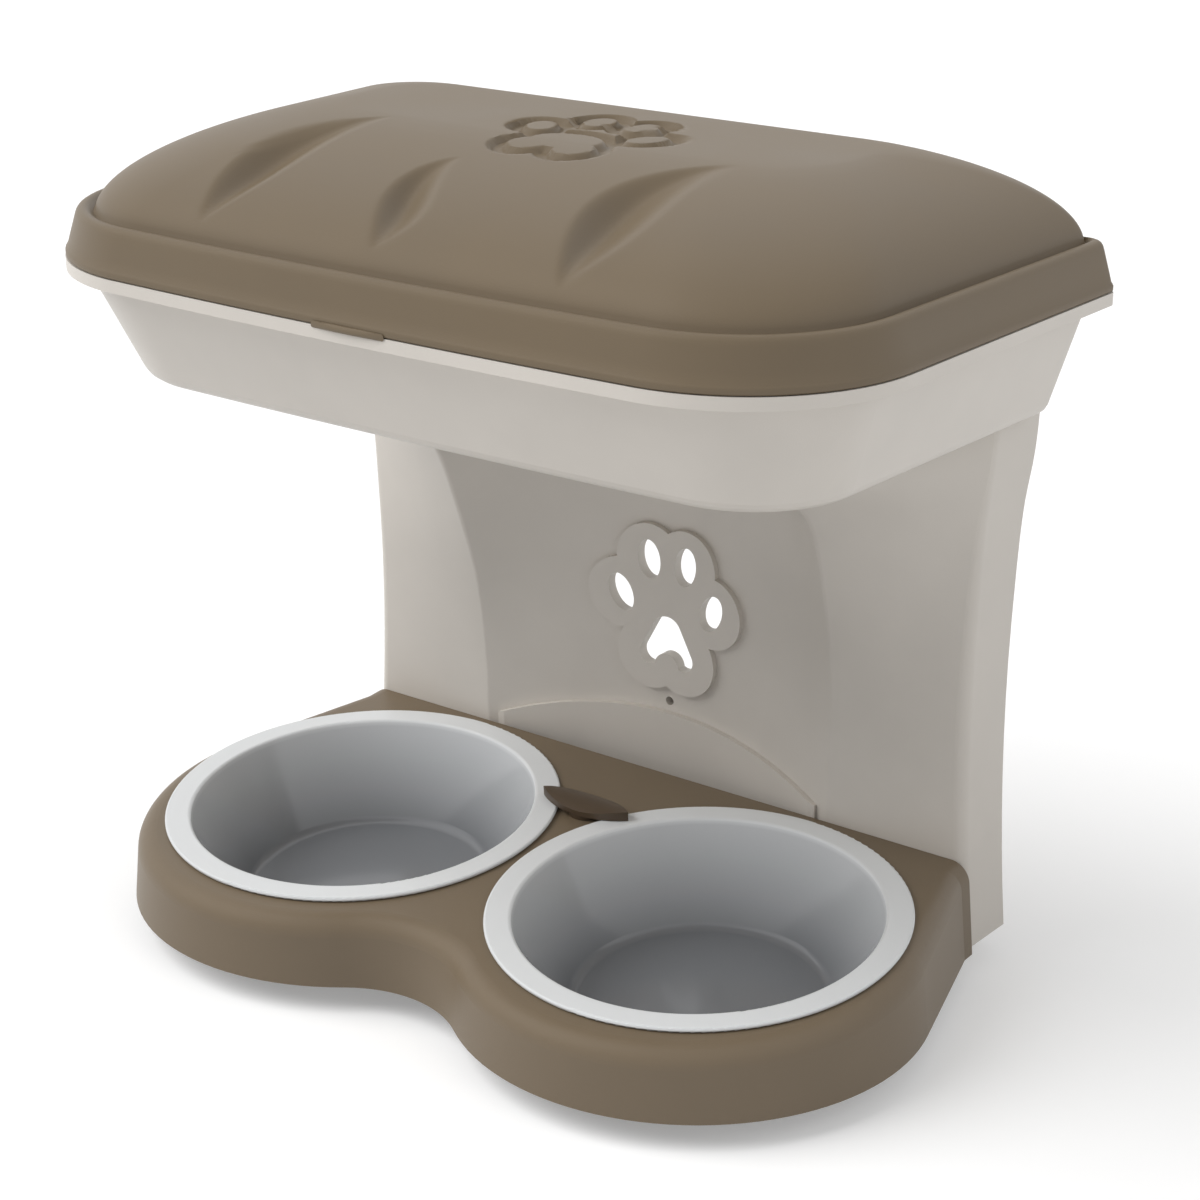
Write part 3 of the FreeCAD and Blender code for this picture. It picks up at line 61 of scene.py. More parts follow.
def moulded_plastic(name, colour, roughness, grain):
    """Satin moulded plastic: spark-eroded grain in the surface, faint flow clouds in colour and gloss."""
    material = bpy.data.materials.new(name)
    material.use_nodes = True
    nodes, links = material.node_tree.nodes, material.node_tree.links
    shader = nodes["Principled BSDF"]
    shader.inputs["IOR"].default_value = PLASTIC_IOR
    place = nodes.new("ShaderNodeTexCoord")
    flow = nodes.new("ShaderNodeTexNoise")
    flow.inputs["Scale"].default_value = CLOUD_SCALE
    flow.inputs["Detail"].default_value = 3.0
    links.new(place.outputs["Object"], flow.inputs["Vector"])
    base = shown_colour(*colour)[:3]
    tint = nodes.new("ShaderNodeValToRGB")
    darker, lighter = tint.color_ramp.elements
    darker.position = 0.3
    darker.color = (*[part * (1 - CLOUD_TINT) for part in base], 1.0)
    lighter.position = 0.7
    lighter.color = (*[min(1.0, part * (1 + CLOUD_TINT)) for part in base], 1.0)
    links.new(flow.outputs["Fac"], tint.inputs["Fac"])
    links.new(tint.outputs["Color"], shader.inputs["Base Color"])
    gloss = nodes.new("ShaderNodeMapRange")
    gloss.inputs["To Min"].default_value = roughness - GLOSS_SWING
    gloss.inputs["To Max"].default_value = roughness + GLOSS_SWING
    links.new(flow.outputs["Fac"], gloss.inputs["Value"])
    links.new(gloss.outputs["Result"], shader.inputs["Roughness"])
    pits = nodes.new("ShaderNodeTexNoise")
    pits.inputs["Scale"].default_value = GRAIN_SCALE
    pits.inputs["Detail"].default_value = 2.0
    links.new(place.outputs["Object"], pits.inputs["Vector"])
    bump = nodes.new("ShaderNodeBump")
    bump.inputs["Strength"].default_value = grain
    bump.inputs["Distance"].default_value = GRAIN_HEIGHT
    links.new(pits.outputs["Fac"], bump.inputs["Height"])
    links.new(bump.outputs["Normal"], shader.inputs["Normal"])
    return material


def finish_node(name, material):
    """Gives a solid of the frame its finish and leaves its mesh as it is."""
    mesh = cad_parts[name].data
    mesh.materials.clear()
    mesh.materials.append(material)


shell_finish = moulded_plastic("pale_satin_shell", colour=(208, 202, 194), roughness=0.46, grain=0.25)
finish_node("back_stand", shell_finish)

# Stand feet
# Two tall black rubber feet under the columns.
# Each is pressed by its spigot into the stand's floor plate.
rubber_finish = moulded_plastic("black_rubber", colour=(44, 43, 42), roughness=0.78, grain=0.5)
finish_node("stand_feet", rubber_finish)

# Food tub
# An open box with a wide flange, injection moulded in the same pale polypropylene as the stand.
# Four screws through its floor hold it on the stand; its rear knuckles carry the lid.
# painted light: the stand's pale plastic is made a little lighter here so that the tub's front reads
# brighter
tub_finish = moulded_plastic("pale_satin_tub_painted_light", colour=(212, 206, 198), roughness=0.42, grain=0.22)
finish_node("food_tub", tub_finish)

# Lid
# A domed cover moulded in brown polypropylene, hinged on two steel pins at the rear of the tub.
# Its skirt closes over the flange; three claw marks and a paw are sunk into the dome.
# All lengths of the lid are in millimetres.
LID_HALF = 230.5
LID_FRONT = 128.6
LID_CORNER = 86.0
LID_REAR = 129.0
LID_REAR_CORNER = 4.5
LID_WALL = 2.6
# the sides flare towards the rear, and the front edge is bowed
LID_FLARE = math.radians(2.46)
FRONT_BOW = 3.0
# the rear edge moves in by this share of what the other edges do
REAR_SHARE = 0.1
FRONT_STEPS = 74
CORNER_STEPS = 20
SIDE_STEPS = 36
REAR_CORNER_STEPS = 10


def arc(x, y, radius, start, end, steps):
    """Points of an arc about a middle, without the last one."""
    turn = np.linspace(start, end, steps, endpoint=False)
    return np.stack([x + radius * np.cos(turn), y + radius * np.sin(turn)], axis=1)


def lid_level(height, half, front, corner, rear, rear_corner):
    """Points of one level of the lid: right half from front to rear, then the left half."""
    flare_cos = math.cos(LID_FLARE)
    flare_sin = math.sin(LID_FLARE)
    corner_x = half - corner
    corner_y = corner - front
    rear_y = rear - rear_corner
    side = np.array([corner_x + corner * flare_cos, corner_y - corner * flare_sin])
    run = (rear_y - side[1] - rear_corner * flare_sin) / flare_cos
    rear_x = side[0] - rear_corner * flare_cos + run * flare_sin
    side_end = np.array([rear_x + rear_corner * flare_cos, rear_y - rear_corner * flare_sin])
    across = np.linspace(0, 1, FRONT_STEPS, endpoint=False)
    back = np.linspace(1, 0, FRONT_STEPS + 1)
    right = np.concatenate([
        np.stack([corner_x * across, -front - FRONT_BOW * (1 - across ** 2)], axis=1),
        arc(corner_x, corner_y, corner, -math.pi / 2, -LID_FLARE, CORNER_STEPS),
        side + (side_end - side) * np.linspace(0, 1, SIDE_STEPS, endpoint=False)[:, None],
        arc(rear_x, rear_y, rear_corner, -LID_FLARE, math.pi / 2, REAR_CORNER_STEPS),
        np.stack([rear_x * back, np.full(back.shape, rear)], axis=1)])
    left = right[-2:0:-1] * np.array([-1.0, 1.0])
    ring = np.concatenate([right, left])
    return np.column_stack([ring, np.full(len(ring), height)])


def skirt_level(inset, height, thin=0.0):
    """One level of the skirt, set in from the lid's outline; thin moves the rear edge in by the wall."""
    return lid_level(height, LID_HALF - inset, LID_FRONT - inset, LID_CORNER - inset,
                     LID_REAR - thin - REAR_SHARE * inset, LID_REAR_CORNER - thin)


# the dome starts in the crease inside the skirt's upper edge and draws in as it rises
CREASE = 377.2
DOME_INSET = 14.0
DOME_RISE = 44.0
DOME_FULLNESS = 1.25
DOME_WALL = 4.2
SIDE_DRAW = 79.0
FRONT_DRAW = 133.0
REAR_DRAW = 37.5
TOP_CORNER = 42.0
TOP_REAR_CORNER = 30.0


def drawn_in(angle):
    """Share of its whole way inwards that the dome has gone at an angle of its curve."""
    return 1 - math.cos(angle) ** DOME_FULLNESS


def dome_level(angle, thin=0.0):
    """One level of the dome at an angle of its curve; thin gives the inside of the wall."""
    share = drawn_in(angle)
    inset = DOME_INSET + thin
    corner = LID_CORNER - inset
    rear_corner = LID_REAR_CORNER - thin
    return lid_level(CREASE - thin + DOME_RISE * math.sin(angle),
                     LID_HALF - inset - SIDE_DRAW * share,
                     LID_FRONT - inset - FRONT_DRAW * share,
                     corner + (TOP_CORNER - corner) * share,
                     LID_REAR - thin - REAR_SHARE * inset - REAR_DRAW * share,
                     rear_corner + (TOP_REAR_CORNER - rear_corner) * share)


def smooth_step(value, low, high):
    """0 up to low, 1 from high on, and a soft change between them."""
    share = np.clip((value - low) / (high - low), 0, 1)
    return share * share * (3 - 2 * share)


# each claw mark: its tail, its foot, and how far it swells to the left and to the right between them
CLAWS = (((-88.0, 6.5), (-106.0, -111.0), 29.0, 12.0),
         ((-14.0, -33.0), (-3.0, -110.5), 18.0, 15.0),
         ((111.0, 8.5), (100.0, -111.5), 32.0, 13.0))
# depth of a mark that swells by the full measure to the left; a slimmer mark is shallower
CLAW_DEPTH = 9.5
FULL_SWELL = 30
# share of a mark's width that its steep wall takes up
CLAW_WALL = 0.34
# where a mark is widest on each side and deepest: below 1 nearer its tail, above 1 nearer its foot
LEFT_PLACE = 0.85
RIGHT_PLACE = 2.0
DEPTH_PLACE = 1.3
# how full its outline and its depth are towards the ends: the smaller the fuller
OUTLINE_FALL = 0.8
DEPTH_FALL = 1.1
# the outline has no width at its ends, and this is kept there to divide by
LEAST_WIDTH = 0.01


def claw_depth(x, y):
    """Depth of the claw marks: a steep wall along their bowed left side, running out softly to the right."""
    depth = np.zeros_like(x)
    for tail, foot, left_swell, right_swell in CLAWS:
        length = tail[1] - foot[1]
        share = np.clip((tail[1] - y) / length, 0.0, 1.0)
        spine = tail[0] + (foot[0] - tail[0]) * share
        left = left_swell * np.sin(np.pi * share ** LEFT_PLACE) ** OUTLINE_FALL
        right = right_swell * np.sin(np.pi * share ** RIGHT_PLACE) ** OUTLINE_FALL
        across = (x - spine + left) / np.maximum(left + right, LEAST_WIDTH)
        wall = smooth_step(across, 0.0, CLAW_WALL)
        run_out = 1 - smooth_step(across, CLAW_WALL, 1.0)
        fullness = np.sin(np.pi * share ** DEPTH_PLACE) ** DEPTH_FALL
        depth = np.maximum(depth, CLAW_DEPTH * (left_swell / FULL_SWELL) ** 0.5 * fullness * wall * run_out)
    return depth


# each lobe of the paw: its middle, its half width and half depth, and its lean in degrees
PAW_MIDDLE = 13
PAW_LOBES = [(PAW_MIDDLE, 9, 20, 15, 0), (PAW_MIDDLE - 13, -3, 11, 11, 0), (PAW_MIDDLE + 13, -3, 11, 11, 0)]
for sign in (-1, 1):
    PAW_LOBES.append((PAW_MIDDLE + 31 * sign, 31, 8.5, 12, -24 * sign))
    PAW_LOBES.append((PAW_MIDDLE + 12.5 * sign, 53, 8.5, 12, -8 * sign))
# a border is sunk round the lobes, with soft edges; the lobes stay at the dome's height
PAW_DEPTH = 3.0
PAW_BORDER = 7.0
PAW_EDGE = 1.3


def paw_reach(x, y, grow):
    """Distance inside the paw sign, grown all round: four toes and a pad with two heel lobes."""
    best = np.full_like(x, -np.inf)
    for lobe_x, lobe_y, half_width, half_depth, lean in PAW_LOBES:
        turn = math.radians(lean)
        aside = (x - lobe_x) * math.cos(turn) + (y - lobe_y) * math.sin(turn)
        along = -(x - lobe_x) * math.sin(turn) + (y - lobe_y) * math.cos(turn)
        wide = half_width + grow
        deep = half_depth + grow
        radius = np.sqrt((aside / wide) ** 2 + (along / deep) ** 2)
        best = np.maximum(best, (1 - radius) * min(wide, deep))
    return best


# rows of the skirt as inset and height, from its lower edge up to the crease
SKIRT_ROWS = (
    (-0.5, 358.4), (-1.0, 358.9), (-1.0, 361.0), (-0.5, 361.9), (0.1, 362.6), (1.5, 367.4), (3.3, 373.2),
    (4.5, 377.2), (5.2, 379.0), (6.1, 380.2), (7.3, 380.9), (8.8, 381.2), (10.2, 380.9), (11.6, 380.1),
    (12.8, 379.2), (13.6, 378.7))
INNER_ROWS = (
    (2.2, 358.4), (2.6, 358.8), (2.6, 361.4), (7.0, 376.0), (8.5, 377.4), (10.5, 377.2), (16.0, 374.8))
# the dome's lowest rows go by angle, those above by the way inwards, closest at the paw
TOP_DEGREES = 82
low_angles = np.radians(np.linspace(3, 20, 7))
claw_shares = np.linspace(0.1, 0.5, 24, endpoint=False)
paw_shares = np.linspace(0.5, drawn_in(math.radians(TOP_DEGREES)), 38)
upper_angles = np.arccos((1 - np.concatenate([claw_shares, paw_shares])) ** (1 / DOME_FULLNESS))
angles = np.concatenate([low_angles, upper_angles])
outside = [skirt_level(inset, height) for inset, height in SKIRT_ROWS]
outside += [dome_level(angle) for angle in angles]
# a flat top closes the dome, in rows that shrink to its middle
rim_top = outside[-1]
TOP_MIDDLE_Y = 49.0
TOP_STEPS = 48
for share in np.linspace(0, 1, TOP_STEPS + 1)[1:-1]:
    level = rim_top * (1 - share) + np.array([0.0, TOP_MIDDLE_Y, 0.0]) * share
    level[:, 2] = rim_top[:, 2]
    outside.append(level)
# the edge between dome and flat top is eased over the rows beside it
EASED_ROWS = 9
EASING_PASSES = 40
edge_row = len(SKIRT_ROWS) + len(angles) - 1
for step in range(EASING_PASSES):
    heights = [level[0, 2] for level in outside]
    for row in range(edge_row - EASED_ROWS, edge_row + EASED_ROWS):
        outside[row][:, 2] = 0.5 * heights[row] + 0.25 * (heights[row - 1] + heights[row + 1])
inside = [skirt_level(inset, height, LID_WALL) for inset, height in INNER_ROWS]
inside += [dome_level(angle, DOME_WALL) for angle in np.radians(np.linspace(4, TOP_DEGREES, 40))]
# the marks fade out between these heights, above the crease
FADE_LOW = 379.0
FADE_HIGH = 384.0


def sunk(rings, with_paw):
    """The rings pushed in along the surface by the claw marks and the paw relief."""
    grid = np.array(rings)
    along = np.roll(grid, -1, axis=1) - np.roll(grid, 1, axis=1)
    up = np.gradient(grid, axis=0)
    normal = np.cross(along, up)
    # rows that fall together have no normal of their own and stay where they are
    normal /= np.maximum(np.linalg.norm(normal, axis=2, keepdims=True), 1e-9)
    x, y, z = grid[..., 0], grid[..., 1], grid[..., 2]
    depth = claw_depth(x, y)
    if with_paw:
        area = smooth_step(paw_reach(x, y, PAW_BORDER), -PAW_EDGE, PAW_EDGE)
        pads = smooth_step(paw_reach(x, y, 0.0), -PAW_EDGE, PAW_EDGE)
        depth = depth + PAW_DEPTH * area * (1 - pads)
    depth = depth * smooth_step(z, FADE_LOW, FADE_HIGH)
    return grid - normal * depth[..., None]


def bridge(faces, count, ring, after):
    """Adds the faces between two rings of a count of points, each ring given by its first point."""
    for k in range(count):
        n = (k + 1) % count
        faces.append((ring + k, ring + n, after + n, after + k))


def closed_rings(grids, tips):
    """One closed skin from two stacks of rings, each closed by a tip, joined along their first rings."""
    count = grids[0].shape[1]
    points = []
    faces = []
    starts = []
    for grid in grids:
        starts.append([])
        for row in grid:
            starts[-1].append(len(points))
            points.extend(row.tolist())
    for rows in starts:
        for ring, after in zip(rows, rows[1:]):
            bridge(faces, count, ring, after)
    bridge(faces, count, starts[1][0], starts[0][0])
    for rows, tip in zip(starts, tips):
        points.append(tip)
        for k in range(count):
            faces.append((rows[-1] + k, rows[-1] + (k + 1) % count, len(points) - 1))
    return points, faces


def stacked(rings):
    """A closed skin from rings of the same count, with a flat face at each end."""
    count = len(rings[0])
    points = [point for ring in rings for point in ring]
    faces = [tuple(range(count)), tuple(range(len(points) - count, len(points)))]
    for row in range(len(rings) - 1):
        bridge(faces, count, row * count, (row + 1) * count)
    return points, faces


def hooped(rings):
    """A closed skin from rings that close on themselves, the last joined to the first."""
    count = len(rings[0])
    points = [point for ring in rings for point in ring]
    faces = []
    for row in range(len(rings)):
        bridge(faces, count, row * count, (row + 1) % len(rings) * count)
    return points, faces


def joined(*skins):
    """Several closed skins as one list of points and faces."""
    points = []
    faces = []
    for some_points, some_faces in skins:
        start = len(points)
        points.extend(some_points)
        faces.extend(tuple(index + start for index in face) for face in some_faces)
    return points, faces


def smooth_but_sharp(mesh, degrees):
    """Smooth shading, but for edges sharper than the given angle."""
    for polygon in mesh.polygons:
        polygon.use_smooth = True
    mesh.set_sharp_from_angle(angle=math.radians(degrees))


# points closer than this, in metres, are one point
SAME_POINT = 1e-6


def solid_mesh(name, skin, material):
    """A piece in metres from a skin in millimetres, its faces outwards."""
    points, faces = skin
    mesh = bpy.data.meshes.new(name)
    mesh.from_pydata([(x / 1000, y / 1000, z / 1000) for x, y, z in points], [], faces)
    work = bmesh.new()
    work.from_mesh(mesh)
    bmesh.ops.remove_doubles(work, verts=work.verts, dist=SAME_POINT)
    bmesh.ops.recalc_face_normals(work, faces=work.faces)
    work.to_mesh(mesh)
    work.free()
    smooth_but_sharp(mesh, degrees=38)
    mesh.materials.append(material)
    piece = bpy.data.objects.new(name, mesh)
    bpy.context.collection.objects.link(piece)
    return piece


def block(middle, half, front, rear, low, high):
    """A closed box with upright sides, as wide on both sides of its middle."""
    outline = ((middle - half, front), (middle + half, front), (middle + half, rear), (middle - half, rear))
    return stacked([[(x, y, height) for x, y in outline] for height in (low, high)])


# the finger tab under the front edge, as rows of height and inset, and the root that joins it to the skirt
TAB_HALF = 21.0
TAB_BACK = -133.1
TAB_REACH = 1.6
TAB_ROWS = ((357.0, 0.9), (357.3, 0.3), (357.9, 0.0), (358.8, 0.1), (359.6, 0.5), (360.2, 1.1))
TAB_STEPS = 33


def tab_ring(height, inset):
    """A flat ring with a straight back and a bowed front."""
    across = np.linspace(-1, 1, TAB_STEPS)
    half = TAB_HALF - inset
    reach = TAB_REACH - inset
    front = [(half * share, TAB_BACK - reach * (1 - share ** 2), height) for share in across]
    rear = [(half * share, TAB_BACK, height) for share in across[-2:0:-1]]
    return front + rear


tab_skin = stacked([tab_ring(height, inset) for height, inset in TAB_ROWS])
tab_root = block(middle=0, half=16, front=-133.5, rear=-130.4, low=358.6, high=360.1)

# the two hinge knuckles at the rear edge, each with a root in the skirt
HINGE_Y = 133.6
HINGE_Z = 358.0
KNUCKLE_X = 150.0
KNUCKLE_LENGTH = 11.4
KNUCKLE_RADIUS = 3.98
PIN_BORE = 1.66
# the chamfer's depth, and the share of the length from the middle at which it starts
CHAMFER = 0.3
CHAMFER_START = 0.475
BARREL_SIDES = 40


def barrel(middle):
    """A bored hinge knuckle along the hinge axis, its outer edges chamfered."""
    turns = np.linspace(0, 2 * math.pi, BARREL_SIDES, endpoint=False)
    end_radius = KNUCKLE_RADIUS - CHAMFER
    rings = []
    for share, radius in ((-0.5, PIN_BORE), (-0.5, end_radius), (-CHAMFER_START, KNUCKLE_RADIUS),
                          (CHAMFER_START, KNUCKLE_RADIUS), (0.5, end_radius), (0.5, PIN_BORE)):
        x = middle + share * KNUCKLE_LENGTH
        rings.append([(x, HINGE_Y + radius * math.cos(turn), HINGE_Z + radius * math.sin(turn))
                      for turn in turns])
    return hooped(rings)


knuckles = []
for middle in (-KNUCKLE_X, KNUCKLE_X):
    knuckles.append(barrel(middle))
    knuckles.append(block(middle, half=KNUCKLE_LENGTH / 2, front=127, rear=131.4, low=358.1, high=361.4))
lid_skin = closed_rings([sunk(outside, True), sunk(inside, False)],
                        [(0.0, TOP_MIDDLE_Y, stack[-1][0, 2]) for stack in (outside, inside)])
cover_finish = moulded_plastic("brown_satin_cover", colour=(107, 93, 73), roughness=0.45, grain=0.3)
lid_piece = solid_mesh("lid_cover", joined(lid_skin, tab_skin, tab_root, *knuckles), cover_finish)
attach(lid_piece, "lid")
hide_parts("lid")

# Hinge pins
# Two zinc-plated steel pins at the rear of the tub.
# Each is pushed through the knuckles of tub and lid, and the lid turns on them.
steel_finish = moulded_plastic("zinc_steel", colour=(168, 168, 166), roughness=0.33, grain=0.2)
steel_finish.node_tree.nodes["Principled BSDF"].inputs["Metallic"].default_value = 1.0
finish_node("lid_hinge_pins", steel_finish)

# Bowl tray
# A skirted deck on two lobes, moulded in the lid's brown polypropylene.
# Its bosses are screwed to the columns from inside; a well with a straight ring takes each bowl.
tray_finish = moulded_plastic("brown_satin_tray", colour=(110, 96, 77), roughness=0.45, grain=0.3)
finish_node("bowl_tray", tray_finish)

# Tray pads
# Two flat black rubber rings glued under the rings of the wells.
# They keep the tray from sliding on the floor.
finish_node("tray_pads", rubber_finish)

# Bowls
# Two pressed dishes with a broad flat rim, white on the rim and smooth grey inside, with painted shade that
# darkens the grey towards the floor.
# Each drops into its well, rests with its rim on the deck and can be turned.
RIM_TILT = math.radians(3.65)
RIM_POINT = Vector((0.0, -0.0126, 0.0586))
BOWL_DEPTH = 0.05
# shares of the depth at which the white of the rim ends and the grey of the wall begins
RIM_END = 0.012
WALL_START = 0.06
RIM_WHITE = (214, 216, 217)
WALL_GREY = (186, 188, 190)
# painted shade: the grey inside darkens with depth down to this colour at the floor
FLOOR_PAINTED_SHADE = (110, 112, 115)
RIM_ROUGHNESS = 0.34
WALL_ROUGHNESS = 0.17


def coated_bowl_with_painted_shade(name):
    """Glossy coating: white on the rim plane, grey and shinier below it, the grey darkened with the depth as
    painted shade.
    """
    rim_normal = Vector((0.0, -math.sin(RIM_TILT), math.cos(RIM_TILT)))
    rim_height = RIM_POINT.dot(rim_normal)
    material = bpy.data.materials.new(name)
    material.use_nodes = True
    nodes, links = material.node_tree.nodes, material.node_tree.links
    shader = nodes["Principled BSDF"]
    place = nodes.new("ShaderNodeTexCoord")
    height = nodes.new("ShaderNodeVectorMath")
    height.operation = "DOT_PRODUCT"
    height.inputs[1].default_value = rim_normal
    links.new(place.outputs["Object"], height.inputs[0])
    depth = nodes.new("ShaderNodeMapRange")
    depth.inputs["From Min"].default_value = rim_height
    depth.inputs["From Max"].default_value = rim_height - BOWL_DEPTH
    links.new(height.outputs["Value"], depth.inputs["Value"])
    # the colour runs from the rim's white through the wall's grey to a darker grey at the floor; the
    # darkening with depth is painted shade
    tint = nodes.new("ShaderNodeValToRGB")
    ramp = tint.color_ramp.elements
    ramp[0].position = RIM_END
    ramp[0].color = shown_colour(*RIM_WHITE)
    ramp[1].position = 1.0
    ramp[1].color = shown_colour(*FLOOR_PAINTED_SHADE)
    wall = ramp.new(WALL_START)
    wall.color = shown_colour(*WALL_GREY)
    links.new(depth.outputs["Result"], tint.inputs["Fac"])
    links.new(tint.outputs["Color"], shader.inputs["Base Color"])
    gloss = nodes.new("ShaderNodeMapRange")
    gloss.inputs["From Max"].default_value = WALL_START
    gloss.inputs["To Min"].default_value = RIM_ROUGHNESS
    gloss.inputs["To Max"].default_value = WALL_ROUGHNESS
    links.new(depth.outputs["Result"], gloss.inputs["Value"])
    links.new(gloss.outputs["Result"], shader.inputs["Roughness"])
    ripple = nodes.new("ShaderNodeTexNoise")
    ripple.inputs["Scale"].default_value = 60.0
    links.new(place.outputs["Object"], ripple.inputs["Vector"])
    bump = nodes.new("ShaderNodeBump")
    bump.inputs["Strength"].default_value = 0.03
    bump.inputs["Distance"].default_value = 0.0003
    links.new(ripple.outputs["Fac"], bump.inputs["Height"])
    links.new(bump.outputs["Normal"], shader.inputs["Normal"])
    shader.inputs["Coat Weight"].default_value = 0.25
    shader.inputs["Coat Roughness"].default_value = 0.08
    return material


bowl_finish = coated_bowl_with_painted_shade("white_grey_coating_painted_shade")
finish_node("bowl_left", bowl_finish)
finish_node("bowl_right", bowl_finish)

# Bowl lock
# A lens-shaped turn button in brown polypropylene whose tips lie over both rims; its brown is darkened as
# painted shade.
# A steel screw and washer hold it from under the deck.
# painted shade: the lock's brown is made darker to stand in for the shade it lies in under the tub
lock_finish = moulded_plastic("brown_lock_painted_shade", colour=(74, 60, 45), roughness=0.4, grain=0.25)
finish_node("bowl_lock", lock_finish)
finish_node("lock_washer", steel_finish)
finish_node("lock_screw", steel_finish)

# Screws
# Zinc-plated pan-head screws: four down through the tub's floor, two from the columns into the tray.
# Each is cold headed with a cross recess and has a plain shank in its boss.
HEAD_RADIUS = 0.004
HEAD_HEIGHT = 0.0024
SHANK_RADIUS = 0.002
SHANK_LENGTH = 0.014
RECESS_WIDTH = 0.0011
RECESS_REACH = 0.0036
RECESS_DEPTH = 0.0014
SCREW_SIDES = 40
HEAD_RINGS = 8
# share of the head's radius at its foot and at its top, and at shares of its height between them
PAN_FOOT = 0.96
PAN_TOP = 0.55
PAN_BETWEEN = ((0.12, 1.0), (0.55, 0.97), (0.85, 0.8))
# the shank's middle as a share of its length: a twentieth of the shank reaches into the head
SHANK_MIDDLE = -0.45


def screw_tree():
    """A pan-head screw on every point: head upwards from the point, shank downwards, all turned alike."""
    tree = bpy.data.node_groups.new("pan_head_screw", "GeometryNodeTree")
    face = tree.interface
    face.new_socket("Geometry", in_out="INPUT", socket_type="NodeSocketGeometry")
    for label in ("Head Radius", "Head Height", "Shank Radius", "Shank Length"):
        face.new_socket(label, in_out="INPUT", socket_type="NodeSocketFloat")
    for label in ("Recess Bar", "Turn"):
        face.new_socket(label, in_out="INPUT", socket_type="NodeSocketVector")
    face.new_socket("Finish", in_out="INPUT", socket_type="NodeSocketMaterial")
    face.new_socket("Geometry", in_out="OUTPUT", socket_type="NodeSocketGeometry")
    nodes, links = tree.nodes, tree.links
    given = nodes.new("NodeGroupInput").outputs

    def lifted(mesh, along, share):
        """The mesh moved up by a share of a length."""
        rise = nodes.new("ShaderNodeMath")
        rise.operation = "MULTIPLY"
        rise.inputs[1].default_value = share
        links.new(along, rise.inputs[0])
        place = nodes.new("ShaderNodeCombineXYZ")
        links.new(rise.outputs[0], place.inputs["Z"])
        move = nodes.new("GeometryNodeTransform")
        links.new(mesh, move.inputs["Geometry"])
        links.new(place.outputs[0], move.inputs["Translation"])
        return move.outputs["Geometry"]

    def rod(radius, length, rings):
        """A closed cylinder about the middle of its length."""
        body = nodes.new("GeometryNodeMeshCylinder")
        body.inputs["Vertices"].default_value = SCREW_SIDES
        body.inputs["Side Segments"].default_value = rings
        links.new(radius, body.inputs["Radius"])
        links.new(length, body.inputs["Depth"])
        return body.outputs["Mesh"]

    def combined(operation):
        """A step that joins closed meshes or cuts them from one another."""
        step = nodes.new("GeometryNodeMeshBoolean")
        step.operation = operation
        step.solver = "MANIFOLD"
        return step

    # the head is a cylinder whose rings are narrowed to the pan shape
    head = lifted(rod(given["Head Radius"], given["Head Height"], HEAD_RINGS), given["Head Height"], 0.5)
    spot = nodes.new("GeometryNodeInputPosition")
    parts = nodes.new("ShaderNodeSeparateXYZ")
    links.new(spot.outputs[0], parts.inputs[0])
    rise = nodes.new("ShaderNodeMath")
    rise.operation = "DIVIDE"
    links.new(parts.outputs["Z"], rise.inputs[0])
    links.new(given["Head Height"], rise.inputs[1])
    pan = nodes.new("ShaderNodeFloatCurve")
    bend = pan.mapping.curves[0].points
    bend[0].location = (0.0, PAN_FOOT)
    bend[1].location = (1.0, PAN_TOP)
    for along, wide in PAN_BETWEEN:
        bend.new(along, wide)
    pan.mapping.update()
    links.new(rise.outputs[0], pan.inputs["Value"])
    width = nodes.new("ShaderNodeCombineXYZ")
    width.inputs["Z"].default_value = 1.0
    links.new(pan.outputs[0], width.inputs["X"])
    links.new(pan.outputs[0], width.inputs["Y"])
    narrowed = nodes.new("ShaderNodeVectorMath")
    narrowed.operation = "MULTIPLY"
    links.new(spot.outputs[0], narrowed.inputs[0])
    links.new(width.outputs[0], narrowed.inputs[1])
    shaped = nodes.new("GeometryNodeSetPosition")
    links.new(head, shaped.inputs["Geometry"])
    links.new(narrowed.outputs[0], shaped.inputs["Position"])

    # head and shank are made one, and two crossed bars are cut out of the head's top
    shank = rod(given["Shank Radius"], given["Shank Length"], 1)
    whole = combined("UNION")
    links.new(shaped.outputs["Geometry"], whole.inputs["Mesh 2"])
    links.new(lifted(shank, given["Shank Length"], SHANK_MIDDLE), whole.inputs["Mesh 2"])
    recessed = combined("DIFFERENCE")
    links.new(whole.outputs["Mesh"], recessed.inputs["Mesh 1"])
    for quarter in (0.0, math.pi / 2):
        bar = nodes.new("GeometryNodeMeshCube")
        links.new(given["Recess Bar"], bar.inputs["Size"])
        turned = nodes.new("GeometryNodeTransform")
        turned.inputs["Rotation"].default_value = (0.0, 0.0, quarter)
        links.new(bar.outputs["Mesh"], turned.inputs["Geometry"])
        links.new(lifted(turned.outputs["Geometry"], given["Head Height"], 1.0), recessed.inputs["Mesh 2"])

    way = nodes.new("FunctionNodeEulerToRotation")
    links.new(given["Turn"], way.inputs["Euler"])
    spread = nodes.new("GeometryNodeInstanceOnPoints")
    links.new(given["Geometry"], spread.inputs["Points"])
    links.new(recessed.outputs["Mesh"], spread.inputs["Instance"])
    links.new(way.outputs["Rotation"], spread.inputs["Rotation"])
    real = nodes.new("GeometryNodeRealizeInstances")
    links.new(spread.outputs["Instances"], real.inputs["Geometry"])
    coat = nodes.new("GeometryNodeSetMaterial")
    links.new(real.outputs["Geometry"], coat.inputs["Geometry"])
    links.new(given["Finish"], coat.inputs["Material"])
    result = nodes.new("NodeGroupOutput")
    links.new(coat.outputs["Geometry"], result.inputs["Geometry"])
    return tree


pan_head_tree = screw_tree()


